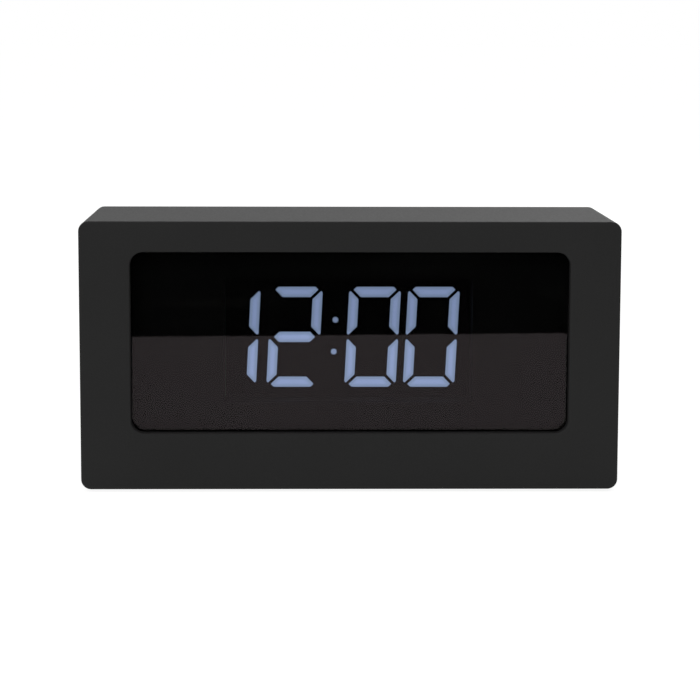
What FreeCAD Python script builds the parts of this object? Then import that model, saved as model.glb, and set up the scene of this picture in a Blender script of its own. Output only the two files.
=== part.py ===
"""Digital table alarm clock: a black case with a smoked window over a 12-hour LED display.

Millimetres, +Z up, origin on the table under the middle of the case. The window faces -Y, and the
buttons, the charging socket and the battery door are in the back, which faces +Y.
"""
import FreeCAD, Part
import math
import os
import re
import Sketcher
from FreeCAD import Placement, Rotation, Vector

# Driving sizes
SIZES = {
    # case: one moulding that is the front, the top, the bottom and both sides
    "case_width": 160,
    "case_height": 80,
    "case_depth": 60,
    "case_corner": 3,
    "case_wall": 2.5,
    "front_wall": 2.5,
    "inner_corner": 1.5,
    "edge_round": 0.5,
    "fit_gap": 0.2,
    "foot_diameter": 9,
    "foot_proud": 0.8,
    "foot_seat": 0.8,
    "foot_inset_side": 14,
    "foot_inset_front": 10,
    # window
    "bezel_side": 15,
    "bezel_top": 9.1,
    "bezel_bottom": 16.9,
    "window_corner": 4,
    "recess_depth": 3.6,
    "collar_wall": 2,
    "lens_lap": 2,
    "lens_thickness": 2,
    "tape_thickness": 0.4,
    "tape_setback": 0.4,
    # carrier that clamps the window and holds the display
    "carrier_thickness": 1.6,
    "ear_height": 30,
    "post_diameter": 6,
    "post_from_wall": 5,
    "post_spacing": 20,
    "pilot_floor": 1.3,
    "hood_wall": 1.8,
    "hood_lap": 2,
    # LED display: digits of the 1.2 inch class
    "display_shift": 1.1,
    "digit_height": 30.48,
    "digit_width": 15.6,
    "bar_across": 2.95,
    "bar_level": 3.15,
    "corner_gap": 0.9,
    "middle_gap": 1.27,
    "tip_cut": 0.9,
    "lean": 0.0507,
    "last_digit": 23.72,
    "digit_pitch": 17.78,
    "colon_pitch": 23.57,
    "first_pitch": 18.71,
    "colon_back": 11.48,
    "colon_spacing": 9.67,
    "colon_lift": 0.37,
    "dot_diameter": 1.8,
    "mark_gap": 2.3,
    "mark_spacing": 18,
    "reflector_rim": 3,
    "reflector_depth": 8,
    "reflector_gap": 9.4,
    "diffuser_thickness": 2.5,
    "led_length": 2,
    "led_width": 1.25,
    "led_thickness": 0.8,
    # circuit boards
    "board_thickness": 1.6,
    "display_board_side": 8,
    "display_board_end": 5,
    "display_post": 5,
    "display_post_edge": 4,
    "main_board_width": 112,
    "main_board_height": 34,
    "main_board_lift": 15.2,
    "main_post": 5.5,
    "main_post_edge": 5,
    "chip_length": 17.9,
    "chip_width": 7.5,
    "chip_thickness": 2.3,
    "chip_along": -24,
    "chip_lead_pitch": 1.27,
    "chip_leads": 14,
    "capacitor_diameter": 6.3,
    "capacitor_height": 11,
    "capacitor_along": 24,
    "capacitor_spacing": 9,
    "crystal_diameter": 2,
    "crystal_length": 6,
    "crystal_along": -6,
    "transistor_width": 3,
    "transistor_height": 1.5,
    "transistor_thickness": 1.1,
    "transistor_along": 8,
    "transistor_spacing": 5,
    "transistor_count": 4,
    "resistor_along": -38,
    "resistor_spacing": 2.5,
    "resistor_count": 7,
    # ribbon between the boards
    "ribbon_width": 20,
    "ribbon_thickness": 0.9,
    "plug_width": 23,
    "plug_height": 5,
    "plug_depth": 4,
    "display_plug_drop": 14.7,
    "main_plug_drop": 12,
    # back cover
    "cover_inset": 2,
    "cover_thickness": 2.5,
    "cover_screw_inset": 4,
    "cover_boss": 9,
    "cup_height": 3,
    "cup_floor": 2.2,
    # screws
    "cover_screw": 2.6,
    "cover_screw_length": 10,
    "cover_head": 5.4,
    "cover_head_height": 2,
    "board_screw": 2,
    "board_screw_length": 5,
    "board_head": 3.8,
    "board_head_height": 1.4,
    "thread_gap": 0.05,
    "cross_length": 2.4,
    "cross_width": 0.6,
    "cross_depth": 0.8,
    # buttons, left to right as they run along the back
    "button_diameter": 7,
    "button_proud": 1,
    "button_flange": 9,
    "flange_thickness": 1,
    "flange_gap": 0.3,
    "button_pitch": 14,
    "button_start": -34,
    "button_lift": 19.2,
    "button_round": 0.4,
    "button_post": 3,
    "button_post_length": 0.5,
    "button_travel": 0.5,
    "switch_side": 6,
    "switch_height": 3.5,
    "stem_diameter": 3.4,
    "stem_height": 1.5,
    "stem_depth": 1.5,
    "stem_gap": 0.1,
    # alarm slide switch
    "slider_along": 42,
    "slider_travel": 3,
    "knob_length": 5,
    "knob_height": 3.4,
    "knob_proud": 1,
    "groove_width": 0.7,
    "slide_gap": 0.1,
    "slide_body_length": 9,
    "slide_body_height": 4,
    "slide_body_depth": 3.6,
    "lever_length": 2,
    "lever_height": 1.6,
    "lever_depth": 1.2,
    # charging socket and sounder
    "socket_side_gap": 1.78,
    "socket_lift": 4.2,
    "socket_width": 8.94,
    "socket_height": 3.16,
    "socket_shell": 0.3,
    "socket_setback": 0.3,
    "tongue_width": 6.7,
    "tongue_thickness": 0.7,
    "tongue_setback": 1,
    "socket_base": 2,
    "sounder_diameter": 12,
    "sounder_top_gap": 0.4,
    "sounder_side_gap": 1.2,
    "sounder_lift": 6.2,
    "sounder_port": 2,
    "grille_hole": 1.5,
    "grille_pitch": 3,
    # battery well, door and cells
    "well_side_room": 11.3,
    "well_lift": -19.6,
    "cell_end_room": 4.15,
    "well_wall": 2.2,
    "well_floor": 1.4,
    "cell_diameter": 10.5,
    "cell_length": 43.7,
    "nub_diameter": 3.8,
    "nub_length": 0.8,
    "cell_gap": 0.3,
    "door_lap": 1.4,
    "door_thickness": 2,
    "door_gap": 0.25,
    "hinge_pin": 1.2,
    "hinge_pin_length": 1.4,
    "hinge_gap": 0.1,
    "tab_width": 9,
    "tab_length": 5,
    "slit_width": 0.8,
    "nib_proud": 0.15,
    "nib_length": 1,
    "nib_width": 4.5,
    "grip_depth": 0.4,
    "plate_thickness": 0.4,
    "plate_height": 8,
    "plate_width": 8,
    "spring_wire": 0.6,
    "spring_radius": 2.6,
    "spring_half_turns": 5,
    "label_width": 52,
    "label_height": 20,
    "label_along": 30,
    "label_depth": 0.3,
    # battery leads
    "lead_diameter": 1.1,
    "lead_bend": 4,
    "lead_reach": 5,
    "lead_spacing": 2.2,
    "lead_clearance": 1.8,
    "lead_board_along": 3,
    "lead_board_drop": 5,
}

os.makedirs("parts", exist_ok=True)
doc = FreeCAD.newDocument("table_clock")
sheet = doc.addObject("Spreadsheet::Sheet", "sizes")
for row, (alias, value) in enumerate(SIZES.items(), start=1):
    sheet.set(f"A{row}", alias.replace("_", " "))
    sheet.set(f"B{row}", str(value))
    sheet.setAlias(f"B{row}", alias)
doc.recompute()

# Places that several pieces share, as formulas
FRONT = "(-case_depth / 2)"
CASE_MID = "(foot_proud + case_height / 2)"
WINDOW_WIDTH = "(case_width - 2 * bezel_side)"
WINDOW_HEIGHT = "(case_height - bezel_top - bezel_bottom)"
WINDOW_LIFT = "((bezel_bottom - bezel_top) / 2)"
WINDOW_MID = f"({CASE_MID} + {WINDOW_LIFT})"
LENS_WIDTH = f"({WINDOW_WIDTH} + 2 * lens_lap)"
LENS_HEIGHT = f"({WINDOW_HEIGHT} + 2 * lens_lap)"
LENS_FRONT = f"({FRONT} + recess_depth)"
CARRIER_FRONT = f"({LENS_FRONT} + lens_thickness)"
CARRIER_BACK = f"({CARRIER_FRONT} + carrier_thickness)"
REFLECTOR_FRONT = f"({CARRIER_FRONT} + reflector_gap)"
DISPLAY_BOARD_FRONT = f"({REFLECTOR_FRONT} + reflector_depth)"
DISPLAY_BOARD_BACK = f"({DISPLAY_BOARD_FRONT} + board_thickness)"
COVER_OUTSIDE = "(case_depth / 2 - cover_inset)"
COVER_INSIDE = f"({COVER_OUTSIDE} - cover_thickness)"
CUP_SEAT = f"({COVER_INSIDE} - cup_height)"
KEY_STACK = ("(switch_height + stem_height + stem_gap + button_post_length + flange_thickness"
             " + flange_gap)")
MAIN_BOARD_BACK = f"({COVER_INSIDE} - {KEY_STACK})"
MAIN_BOARD_FRONT = f"({MAIN_BOARD_BACK} - board_thickness)"
MAIN_BOARD_MID = f"({CASE_MID} + main_board_lift)"
BUTTON_MID = f"({CASE_MID} + button_lift)"
SWITCH_TOP = f"({MAIN_BOARD_BACK} + switch_height)"
FLANGE_TOP = f"({COVER_INSIDE} - flange_gap)"
MAIN_POST_X = "(main_board_width / 2 - main_post_edge)"
SOCKET_X = f"({MAIN_POST_X} - main_post / 2 - socket_side_gap - socket_width / 2)"
SOUNDER_X = f"(-({MAIN_POST_X} - main_post / 2 - sounder_side_gap - sounder_diameter / 2))"
WELL_MID = f"({CASE_MID} + well_lift)"
WELL_LENGTH = "(cell_length + 2 * cell_end_room)"
WELL_X = f"(well_side_room + well_wall + {WELL_LENGTH} / 2 + case_wall - case_width / 2)"
DOOR_INSIDE = f"({COVER_OUTSIDE} - door_thickness)"
CELL_AXIS = f"({DOOR_INSIDE} - cell_gap - cell_diameter / 2)"
WELL_HEIGHT = "(2 * cell_diameter + 3 * cell_gap)"
DOOR_WIDTH = f"({WELL_LENGTH} + 2 * door_lap)"
DOOR_HEIGHT = f"({WELL_HEIGHT} + 2 * door_lap)"
WELL_BOTTOM = f"({CELL_AXIS} - cell_diameter / 2 - cell_gap)"
COVER_SCREW_X = "(case_width / 2 - case_wall - cover_screw_inset)"
COVER_SCREW_Z = "(case_height / 2 - case_wall - cover_screw_inset)"
CARRIER_POST_X = "(case_width / 2 - case_wall - post_from_wall)"
SIGNS = [(sx, sz) for sx in (-1, 1) for sz in (-1, 1)]


# Small helpers
def bound(text):
    """Turns size names into references to the sheet, so that a formula can drive a property."""
    return re.sub(r"[a-z][a-z_]*", lambda m: f"sizes.{m[0]}" if m[0] in SIZES else m[0], text)


def number(text):
    return float(sheet.evalExpression(bound(text)))


def place(piece, x="0", y="0", z="0"):
    for axis, text in zip("xyz", (x, y, z)):
        piece.setExpression(f"Placement.Base.{axis}", bound(text))
    return piece


def new_body(label, x="0", y="0", z="0"):
    body = doc.addObject("PartDesign::Body", label)
    body.Label = label
    body.AllowCompound = True
    return place(body, x, y, z)


def new_sketch(body, name, depth="0", plane="XZ_Plane"):
    """A sketch on one of the body's own planes, moved along its axis: +Y for XZ, +Z for XY, +X for YZ."""
    sketch = body.newObject("Sketcher::SketchObject", name)
    support = next(o for o in body.Origin.OriginFeatures if o.Role == plane)
    sketch.AttachmentSupport = [(support, "")]
    sketch.MapMode = "FlatFace"
    sign = "-" if plane == "XZ_Plane" else ""
    sketch.setExpression("AttachmentOffset.Base.z", bound(f"{sign}({depth})"))
    return sketch


def constrain(sketch, ties, measures):
    """Adds geometric ties, then measures as (kind, formula, where...), each one driven by its formula."""
    if ties:
        sketch.addConstraint([Sketcher.Constraint(*tie) for tie in ties])
    values = [Sketcher.Constraint(kind, *where, number(text)) for kind, text, *where in measures]
    for index, measure in zip(sketch.addConstraint(values), measures):
        sketch.setExpression(f"Constraints[{index}]", bound(measure[1]))


def add_polygon(sketch, points):
    first = sketch.GeometryCount
    spots = [Vector(number(x), number(y), 0) for x, y in points]
    count = len(points)
    lines = [Part.LineSegment(spots[i], spots[(i + 1) % count]) for i in range(count)]
    sketch.addGeometry(lines, False)
    ties = [("Coincident", first + i, 2, first + (i + 1) % count, 1) for i in range(count)]
    measures = []
    for i, (x, y) in enumerate(points):
        measures += [("DistanceX", x, -1, 1, first + i, 1), ("DistanceY", y, -1, 1, first + i, 1)]
    constrain(sketch, ties, measures)


def rectangle_corners(x, y, width, height):
    left, right = f"({x}) - ({width}) / 2", f"({x}) + ({width}) / 2"
    low, high = f"({y}) - ({height}) / 2", f"({y}) + ({height}) / 2"
    return [(left, low), (right, low), (right, high), (left, high)]


def add_rectangle(sketch, x, y, width, height):
    add_polygon(sketch, rectangle_corners(x, y, width, height))


def add_rounded(sketch, x, y, width, height, radius):
    add_outline(sketch, rectangle_corners(x, y, width, height), [radius] * 4)


def add_circle(sketch, x, y, diameter):
    circle = Part.Circle(Vector(number(x), number(y), 0), Vector(0, 0, 1), number(diameter) / 2)
    index = sketch.addGeometry(circle, False)
    constrain(sketch, [], [("DistanceX", x, -1, 1, index, 3), ("DistanceY", y, -1, 1, index, 3),
                           ("Diameter", diameter, index)])


def add_outline(sketch, corners, radii):
    """A closed outline of level and upright sides, in order, rounded at each corner that has a radius."""
    count = len(corners)
    spots = [Vector(number(x), number(y), 0) for x, y in corners]
    starts, ends, arcs = list(spots), list(spots), {}
    for i, radius in enumerate(radii):
        if radius:
            way_in = (spots[i] - spots[i - 1]).normalize()
            way_out = (spots[(i + 1) % count] - spots[i]).normalize()
            size = number(radius)
            ends[i], starts[i] = spots[i] - way_in * size, spots[i] + way_out * size
            left_turn = way_in.cross(way_out).z > 0
            middle = spots[i] + (way_out - way_in) * size
            sweep = (ends[i], starts[i]) if left_turn else (starts[i], ends[i])
            angles = [math.atan2(spot.y - middle.y, spot.x - middle.x) for spot in sweep]
            arc = Part.ArcOfCircle(Part.Circle(middle, Vector(0, 0, 1), size), *angles)
            arcs[i] = (sketch.addGeometry(arc, False), left_turn)
    first = sketch.GeometryCount
    sketch.addGeometry([Part.LineSegment(starts[i], ends[(i + 1) % count]) for i in range(count)], False)
    ties, measures = [], []
    for i, (x, y) in enumerate(corners):
        side, before = first + i, first + (i - 1) % count
        if i in arcs:
            arc, left_turn = arcs[i]
            ties += [("Tangent", before, 2, arc, 1 if left_turn else 2)]
            ties += [("Tangent", arc, 2 if left_turn else 1, side, 1)]
            measures.append(("Radius", radii[i], arc))
        else:
            ties.append(("Coincident", before, 2, side, 1))
        level = abs((spots[(i + 1) % count] - spots[i]).y) < 1e-9
        ties.append(("Horizontal" if level else "Vertical", side))
        measures.append(("DistanceY", y, -1, 1, side, 1) if level else ("DistanceX", x, -1, 1, side, 1))
    constrain(sketch, ties, measures)


def extrude(body, kind, sketch, length, backwards, midplane):
    """Pads or pockets the sketch, and stops the script if that changed nothing."""
    before = body.Tip.Shape.Volume if body.Tip else 0.0
    feature = body.newObject(f"PartDesign::{kind}", f"{sketch.Name}_{kind.lower()}")
    feature.Profile = sketch
    feature.Reversed = backwards
    feature.Midplane = midplane
    feature.setExpression("Length", bound(length))
    sketch.Visibility = False
    doc.recompute()
    after = feature.Shape.Volume
    if (after <= before) if kind == "Pad" else (after >= before):
        raise RuntimeError(f"{feature.Name} changed nothing")
    return feature


def faces_front(sketch):
    return sketch.AttachmentSupport[0][0].Role == "XZ_Plane"


def pad(body, sketch, length, midplane=False):
    """Adds material from the sketch towards +Y, +Z or +X."""
    return extrude(body, "Pad", sketch, length, faces_front(sketch), midplane)


def pocket(body, sketch, length, midplane=False):
    """Cuts from the sketch towards +Y, +Z or +X."""
    return extrude(body, "Pocket", sketch, length, not faces_front(sketch), midplane)


def repeat(body, feature, axis, length, count, name):
    """Copies a feature evenly along one of the body's axes."""
    pattern = body.newObject("PartDesign::LinearPattern", name)
    pattern.Originals = [feature]
    pattern.Direction = (next(o for o in body.Origin.OriginFeatures if o.Role == axis), [""])
    pattern.setExpression("Length", bound(length))
    pattern.setExpression("Occurrences", bound(count))
    body.Tip = pattern
    doc.recompute()


def round_edges(body, radius, wanted):
    """Fillets the edges of the body for which wanted(edge) is true."""
    base = body.Tip
    names = [f"Edge{i}" for i, edge in enumerate(base.Shape.Edges, start=1) if wanted(edge)]
    feature = body.newObject("PartDesign::Fillet", f"{body.Name}_rounding")
    feature.Base = (base, names)
    feature.setExpression("Radius", bound(radius))
    doc.recompute()
    return feature


def at_depth(edge, depth):
    """True if the whole edge lies in the plane y = depth of its body."""
    box = edge.BoundBox
    return abs(box.YMin - depth) < 1e-4 and abs(box.YMax - depth) < 1e-4


def plain_piece(label, shape):
    """A piece whose shape is swept along a path, already in its place."""
    piece = doc.addObject("Part::Feature", label)
    piece.Label = label
    piece.Shape = shape
    return piece


# Case and window
def make_front_housing():
    body = new_body("front_housing", "0", FRONT, CASE_MID)
    outline = new_sketch(body, "case_outline")
    add_rounded(outline, "0", "0", "case_width", "case_height", "case_corner")
    pad(body, outline, "case_depth")

    hollow = new_sketch(body, "case_hollow", "front_wall")
    walls = "2 * case_wall"
    add_rounded(hollow, "0", "0", f"case_width - {walls}", f"case_height - {walls}", "inner_corner")
    pocket(body, hollow, "case_depth - front_wall")

    collar = new_sketch(body, "window_collar", "front_wall / 2")
    grow = "2 * collar_wall"
    add_rounded(collar, "0", WINDOW_LIFT, f"{WINDOW_WIDTH} + {grow}", f"{WINDOW_HEIGHT} + {grow}",
                "window_corner + collar_wall")
    pad(body, collar, "recess_depth - tape_thickness - front_wall / 2")

    bosses = new_sketch(body, "cover_bosses", "front_wall / 2")
    for sx, sz in SIGNS:
        add_circle(bosses, f"{sx} * {COVER_SCREW_X}", f"{sz} * {COVER_SCREW_Z}", "cover_boss")
    pad(body, bosses, f"{CUP_SEAT} - {FRONT} - front_wall / 2")

    posts = new_sketch(body, "carrier_posts", "front_wall / 2")
    for sx, sz in SIGNS:
        spot = (f"{sx} * {CARRIER_POST_X}", f"{WINDOW_LIFT} + {sz} * post_spacing / 2")
        add_circle(posts, *spot, "post_diameter")
    pad(body, posts, "recess_depth + lens_thickness - front_wall / 2")

    opening = new_sketch(body, "window_opening")
    add_rounded(opening, "0", WINDOW_LIFT, WINDOW_WIDTH, WINDOW_HEIGHT, "window_corner")
    pocket(body, opening, "recess_depth")

    pilots = new_sketch(body, "cover_pilots", f"{CUP_SEAT} - {FRONT} - cover_screw_length")
    for sx, sz in SIGNS:
        add_circle(pilots, f"{sx} * {COVER_SCREW_X}", f"{sz} * {COVER_SCREW_Z}", "cover_screw")
    pocket(body, pilots, "cover_screw_length")

    small_pilots = new_sketch(body, "post_pilots", "pilot_floor")
    for sx, sz in SIGNS:
        spot = (f"{sx} * {CARRIER_POST_X}", f"{WINDOW_LIFT} + {sz} * post_spacing / 2")
        add_circle(small_pilots, *spot, "board_screw")
    pocket(body, small_pilots, "recess_depth + lens_thickness - pilot_floor")

    seats = new_sketch(body, "foot_seats", "-case_height / 2", "XY_Plane")
    for x, y in foot_spots("0"):
        add_circle(seats, x, y, "foot_diameter + 2 * fit_gap")
    pocket(body, seats, "foot_seat")

    round_edges(body, "edge_round", lambda edge: at_depth(edge, 0))
    depth = number("case_depth")
    round_edges(body, "edge_round", lambda edge: at_depth(edge, depth))
    return body


def foot_spots(front):
    """The four feet as (x, y), with y counted from the given front plane."""
    x = "(case_width / 2 - foot_inset_side)"
    rows = (f"{front} + foot_inset_front", f"{front} + case_depth - foot_inset_front")
    return [(f"{side} * {x}", y) for side in (-1, 1) for y in rows]


def make_rubber_feet():
    body = new_body("rubber_feet")
    discs = new_sketch(body, "foot_discs", "0", "XY_Plane")
    for x, y in foot_spots(FRONT):
        add_circle(discs, x, y, "foot_diameter")
    pad(body, discs, "foot_proud + foot_seat")
    return body


def make_window():
    lens = new_body("window_lens", "0", LENS_FRONT, WINDOW_MID)
    outline = new_sketch(lens, "lens_outline")
    add_rounded(outline, "0", "0", LENS_WIDTH, LENS_HEIGHT, "window_corner + lens_lap")
    pad(lens, outline, "lens_thickness")

    tape = new_body("window_tape", "0", f"{LENS_FRONT} - tape_thickness", WINDOW_MID)
    frame = new_sketch(tape, "tape_frame")
    for lap in ("(lens_lap - tape_setback)", "tape_setback"):
        add_rounded(frame, "0", "0", f"{WINDOW_WIDTH} + 2 * {lap}", f"{WINDOW_HEIGHT} + 2 * {lap}",
                    f"window_corner + {lap}")
    pad(tape, frame, "tape_thickness")
    return [lens, tape]


def make_display_carrier():
    body = new_body("display_carrier", "0", CARRIER_FRONT, WINDOW_MID)
    plate = new_sketch(body, "carrier_plate")
    add_rounded(plate, "0", "0", LENS_WIDTH, LENS_HEIGHT, "window_corner + lens_lap")
    pad(body, plate, "carrier_thickness")

    ears = new_sketch(body, "carrier_ears")
    reach = f"2 * ({CARRIER_POST_X} + post_diameter / 2 + fit_gap)"
    add_rounded(ears, "0", "0", reach, "ear_height", "post_diameter / 2")
    pad(body, ears, "carrier_thickness")

    posts = new_sketch(body, "board_posts", "carrier_thickness / 2")
    for spot in display_post_spots():
        add_circle(posts, *spot, "display_post")
    pad(body, posts, f"{DISPLAY_BOARD_FRONT} - {CARRIER_FRONT} - carrier_thickness / 2")

    hood = new_sketch(body, "light_hood", "carrier_thickness / 2")
    opening = new_sketch(body, "reflector_opening")
    for sketch, grow in ((hood, "2 * fit_gap + 2 * hood_wall"), (opening, "2 * fit_gap")):
        add_rectangle(sketch, f"display_shift + {BLOCK_MID}", "0", f"{BLOCK_WIDTH} + {grow}",
                      f"{BLOCK_HEIGHT} + {grow}")
    pad(body, hood, "reflector_gap + hood_lap - carrier_thickness / 2")
    pocket(body, opening, "reflector_gap + hood_lap")

    holes = new_sketch(body, "ear_holes")
    for sx, sz in SIGNS:
        spot = (f"{sx} * {CARRIER_POST_X}", f"{sz} * post_spacing / 2")
        add_circle(holes, *spot, "board_screw + 2 * fit_gap")
    pocket(body, holes, "carrier_thickness")

    pilots = new_sketch(body, "board_pilots", "carrier_thickness")
    for spot in display_post_spots():
        add_circle(pilots, *spot, "board_screw")
    pocket(body, pilots, f"{DISPLAY_BOARD_FRONT} - {CARRIER_BACK}")
    return body


def display_post_spots():
    """The screws of the display board as (x, z) from the middle of the window."""
    x = f"({BLOCK_WIDTH} / 2 + display_board_side - display_post_edge)"
    z = f"({BLOCK_HEIGHT} / 2 + display_board_end - display_post_edge)"
    return [(f"display_shift + {BLOCK_MID} + {sx} * {x}", f"{sz} * {z}") for sx, sz in SIGNS]


# The LED display
def bar_shapes():
    """Outlines of a digit's seven bars as (x, z) formulas, upright and about the digit's middle."""
    out, inn, top = "(digit_width / 2)", "(digit_width / 2 - bar_across)", "(digit_height / 2)"
    slip = "(corner_gap / sqrt(2))"
    reach = f"({inn} + bar_level - {slip})"
    tip_z = f"({out} - tip_cut / 2 - {inn} - bar_level + {top} - {slip})"
    waist = f"({inn} + bar_level)"
    arm = f"({waist} - middle_gap * sqrt(2))"
    level = [(f"({inn} - {slip})", f"{top} - bar_level"), (f"({reach} - tip_cut)", f"{top} - tip_cut"),
             (f"({reach} - 2 * tip_cut)", top)]
    upright = [(inn, f"{top} - bar_level - {slip}"), (f"{out} - tip_cut / 2", tip_z),
               (out, f"{tip_z} - tip_cut / 2"), (out, f"{waist} - {out} + tip_cut"),
               (f"{out} - tip_cut / 2", f"{waist} - {out} + tip_cut / 2"), (inn, "bar_level")]
    middle = [(arm, "0"), (f"({arm} - bar_level / 2)", "bar_level / 2")]

    def turned(points, sx, sz):
        return [(f"{sx} * ({x})", f"{sz} * ({z})") for x, z in points]

    ends = {sz: turned(level, 1, sz) + turned(level[::-1], -1, sz) for sz in (1, -1)}
    hexagon = turned(middle, 1, 1) + turned(middle[::-1], -1, 1) + turned(middle[1:], -1, -1)
    hexagon += turned(middle[1:], 1, -1)
    return {"a": ends[1], "b": turned(upright, 1, 1), "c": turned(upright, 1, -1), "d": ends[-1],
            "e": turned(upright, -1, -1), "f": turned(upright, -1, 1), "g": hexagon}


BARS = bar_shapes()
DIGIT_X = {
    "hour_tens": "(last_digit - digit_pitch - colon_pitch - first_pitch)",
    "hour_units": "(last_digit - digit_pitch - colon_pitch)",
    "minute_tens": "(last_digit - digit_pitch)",
    "minute_units": "last_digit",
}
LIT = {"hour_tens": "bc", "hour_units": "abged", "minute_tens": "abcdef", "minute_units": "abcdef"}
DARK = {"hour_tens": "", "hour_units": "fc", "minute_tens": "g", "minute_units": "g"}
COLON_X = "(last_digit - digit_pitch - colon_back)"
HALF_COLON = "colon_spacing / 2"
COLON_Z = [f"(colon_lift + {sz} * {HALF_COLON})" for sz in (1, -1)]
COLON_DOTS = [(f"{COLON_X} + {z} * lean", z) for z in COLON_Z]
FIRST_EDGE = f"({DIGIT_X['hour_tens']} + digit_width / 2 - bar_across - digit_height / 2 * lean)"
LAST_EDGE = f"({DIGIT_X['minute_units']} + digit_width / 2 + digit_height / 2 * lean)"
MARK_X = f"({FIRST_EDGE} - mark_gap)"
MARK_DOTS = [(MARK_X, f"{sz} * mark_spacing / 2") for sz in (1, -1)]
BLOCK_LEFT = f"({MARK_X} - dot_diameter / 2 - reflector_rim)"
BLOCK_RIGHT = f"({LAST_EDGE} + reflector_rim)"
BLOCK_MID = f"(({BLOCK_LEFT} + {BLOCK_RIGHT}) / 2)"
BLOCK_WIDTH = f"({BLOCK_RIGHT} - {BLOCK_LEFT})"
BLOCK_HEIGHT = "(digit_height + 2 * reflector_rim)"


def add_bars(sketch, digit, letters):
    for letter in letters:
        leaning = [(f"{DIGIT_X[digit]} + ({x}) + ({z}) * lean", z) for x, z in BARS[letter]]
        add_polygon(sketch, leaning)


def make_reflector():
    body = new_body("led_reflector", "display_shift", REFLECTOR_FRONT, WINDOW_MID)
    block = new_sketch(body, "reflector_block")
    add_rectangle(block, BLOCK_MID, "0", BLOCK_WIDTH, BLOCK_HEIGHT)
    pad(body, block, "reflector_depth")
    for digit in DIGIT_X:
        cells = new_sketch(body, f"{digit}_light_wells")
        add_bars(cells, digit, LIT[digit] + DARK[digit])
        pocket(body, cells, "reflector_depth")
    dots = new_sketch(body, "dot_light_wells")
    for spot in COLON_DOTS + MARK_DOTS:
        add_circle(dots, *spot, "dot_diameter")
    pocket(body, dots, "reflector_depth")
    return body


def make_diffusers():
    """The milky plastic that fills the front of each light well, in groups that light together."""
    made = []
    for suffix, groups in (("lit_bars", LIT), ("dark_bars", DARK)):
        for digit, letters in groups.items():
            if letters:
                body = new_body(f"{digit}_{suffix}", "display_shift", REFLECTOR_FRONT, WINDOW_MID)
                bars = new_sketch(body, f"{body.Name}_outline")
                add_bars(bars, digit, letters)
                pad(body, bars, "diffuser_thickness")
                made.append(body)
    for label, spots in (("colon_dots", COLON_DOTS), ("indicator_dots", MARK_DOTS)):
        body = new_body(label, "display_shift", REFLECTOR_FRONT, WINDOW_MID)
        dots = new_sketch(body, f"{label}_outline")
        for spot in spots:
            add_circle(dots, *spot, "dot_diameter")
        pad(body, dots, "diffuser_thickness")
        made.append(body)
    return made


def bar_middles(digit):
    """The middle of every bar of a digit as (x, z) formulas and whether the bar is upright."""
    side = "(digit_width / 2 - bar_across / 2)"
    rise = "(digit_height / 4)"
    top = "(digit_height / 2 - bar_level / 2)"
    upright = {"b": (1, 1), "c": (1, -1), "e": (-1, -1), "f": (-1, 1)}
    level = {"a": 1, "g": 0, "d": -1}
    for letter in LIT[digit] + DARK[digit]:
        if letter in upright:
            sx, sz = upright[letter]
            yield f"{DIGIT_X[digit]} + {sx} * {side} + {sz} * {rise} * lean", f"{sz} * {rise}", True
        else:
            z = f"{level[letter]} * {top}"
            yield f"{DIGIT_X[digit]} + {z} * lean", z, False


def make_leds():
    depth = f"{DISPLAY_BOARD_FRONT} - led_thickness"
    body = new_body("segment_leds", "display_shift", depth, WINDOW_MID)
    for digit in DIGIT_X:
        chips = new_sketch(body, f"{digit}_leds")
        for x, z, upright in bar_middles(digit):
            size = ("led_width", "led_length") if upright else ("led_length", "led_width")
            add_rectangle(chips, x, z, *size)
        pad(body, chips, "led_thickness")
    dots = new_sketch(body, "dot_leds")
    for x, z in COLON_DOTS + MARK_DOTS:
        add_rectangle(dots, x, z, "led_width", "led_width")
    pad(body, dots, "led_thickness")
    return body


# Circuit boards
def make_display_board():
    body = new_body("display_board", "display_shift", DISPLAY_BOARD_FRONT, WINDOW_MID)
    outline = new_sketch(body, "display_board_outline")
    add_rectangle(outline, BLOCK_MID, "0", f"{BLOCK_WIDTH} + 2 * display_board_side",
                  f"{BLOCK_HEIGHT} + 2 * display_board_end")
    pad(body, outline, "board_thickness")
    holes = new_sketch(body, "display_board_holes")
    for x, z in display_post_spots():
        add_circle(holes, f"{x} - display_shift", z, "board_screw + 2 * fit_gap")
    pocket(body, holes, "board_thickness")
    return body


def main_post_spots():
    """The screws of the main board as (x, z) from the middle of that board."""
    z = "(main_board_height / 2 - main_post_edge)"
    return [(f"{sx} * {MAIN_POST_X}", f"{sz} * {z}") for sx, sz in SIGNS]


def make_main_board():
    body = new_body("main_board", "0", MAIN_BOARD_FRONT, MAIN_BOARD_MID)
    outline = new_sketch(body, "main_board_outline")
    add_rectangle(outline, "0", "0", "main_board_width", "main_board_height")
    pad(body, outline, "board_thickness")
    holes = new_sketch(body, "main_board_holes")
    for spot in main_post_spots():
        add_circle(holes, *spot, "board_screw + 2 * fit_gap")
    pocket(body, holes, "board_thickness")
    return body


def make_clock_chip():
    body = new_body("clock_chip", "chip_along", f"{MAIN_BOARD_FRONT} - chip_thickness", MAIN_BOARD_MID)
    package = new_sketch(body, "chip_package")
    add_rectangle(package, "0", "0", "chip_length", "chip_width")
    pad(body, package, "chip_thickness")
    lead = new_sketch(body, "chip_lead", "chip_thickness * 3 / 4")
    row = "(chip_leads - 1) * chip_lead_pitch"
    add_rectangle(lead, f"-({row}) / 2", "0", "chip_lead_pitch / 3", "chip_width + chip_thickness")
    first = pad(body, lead, "chip_thickness / 4")
    repeat(body, first, "X_Axis", row, "chip_leads", "chip_lead_row")
    return body


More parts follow.
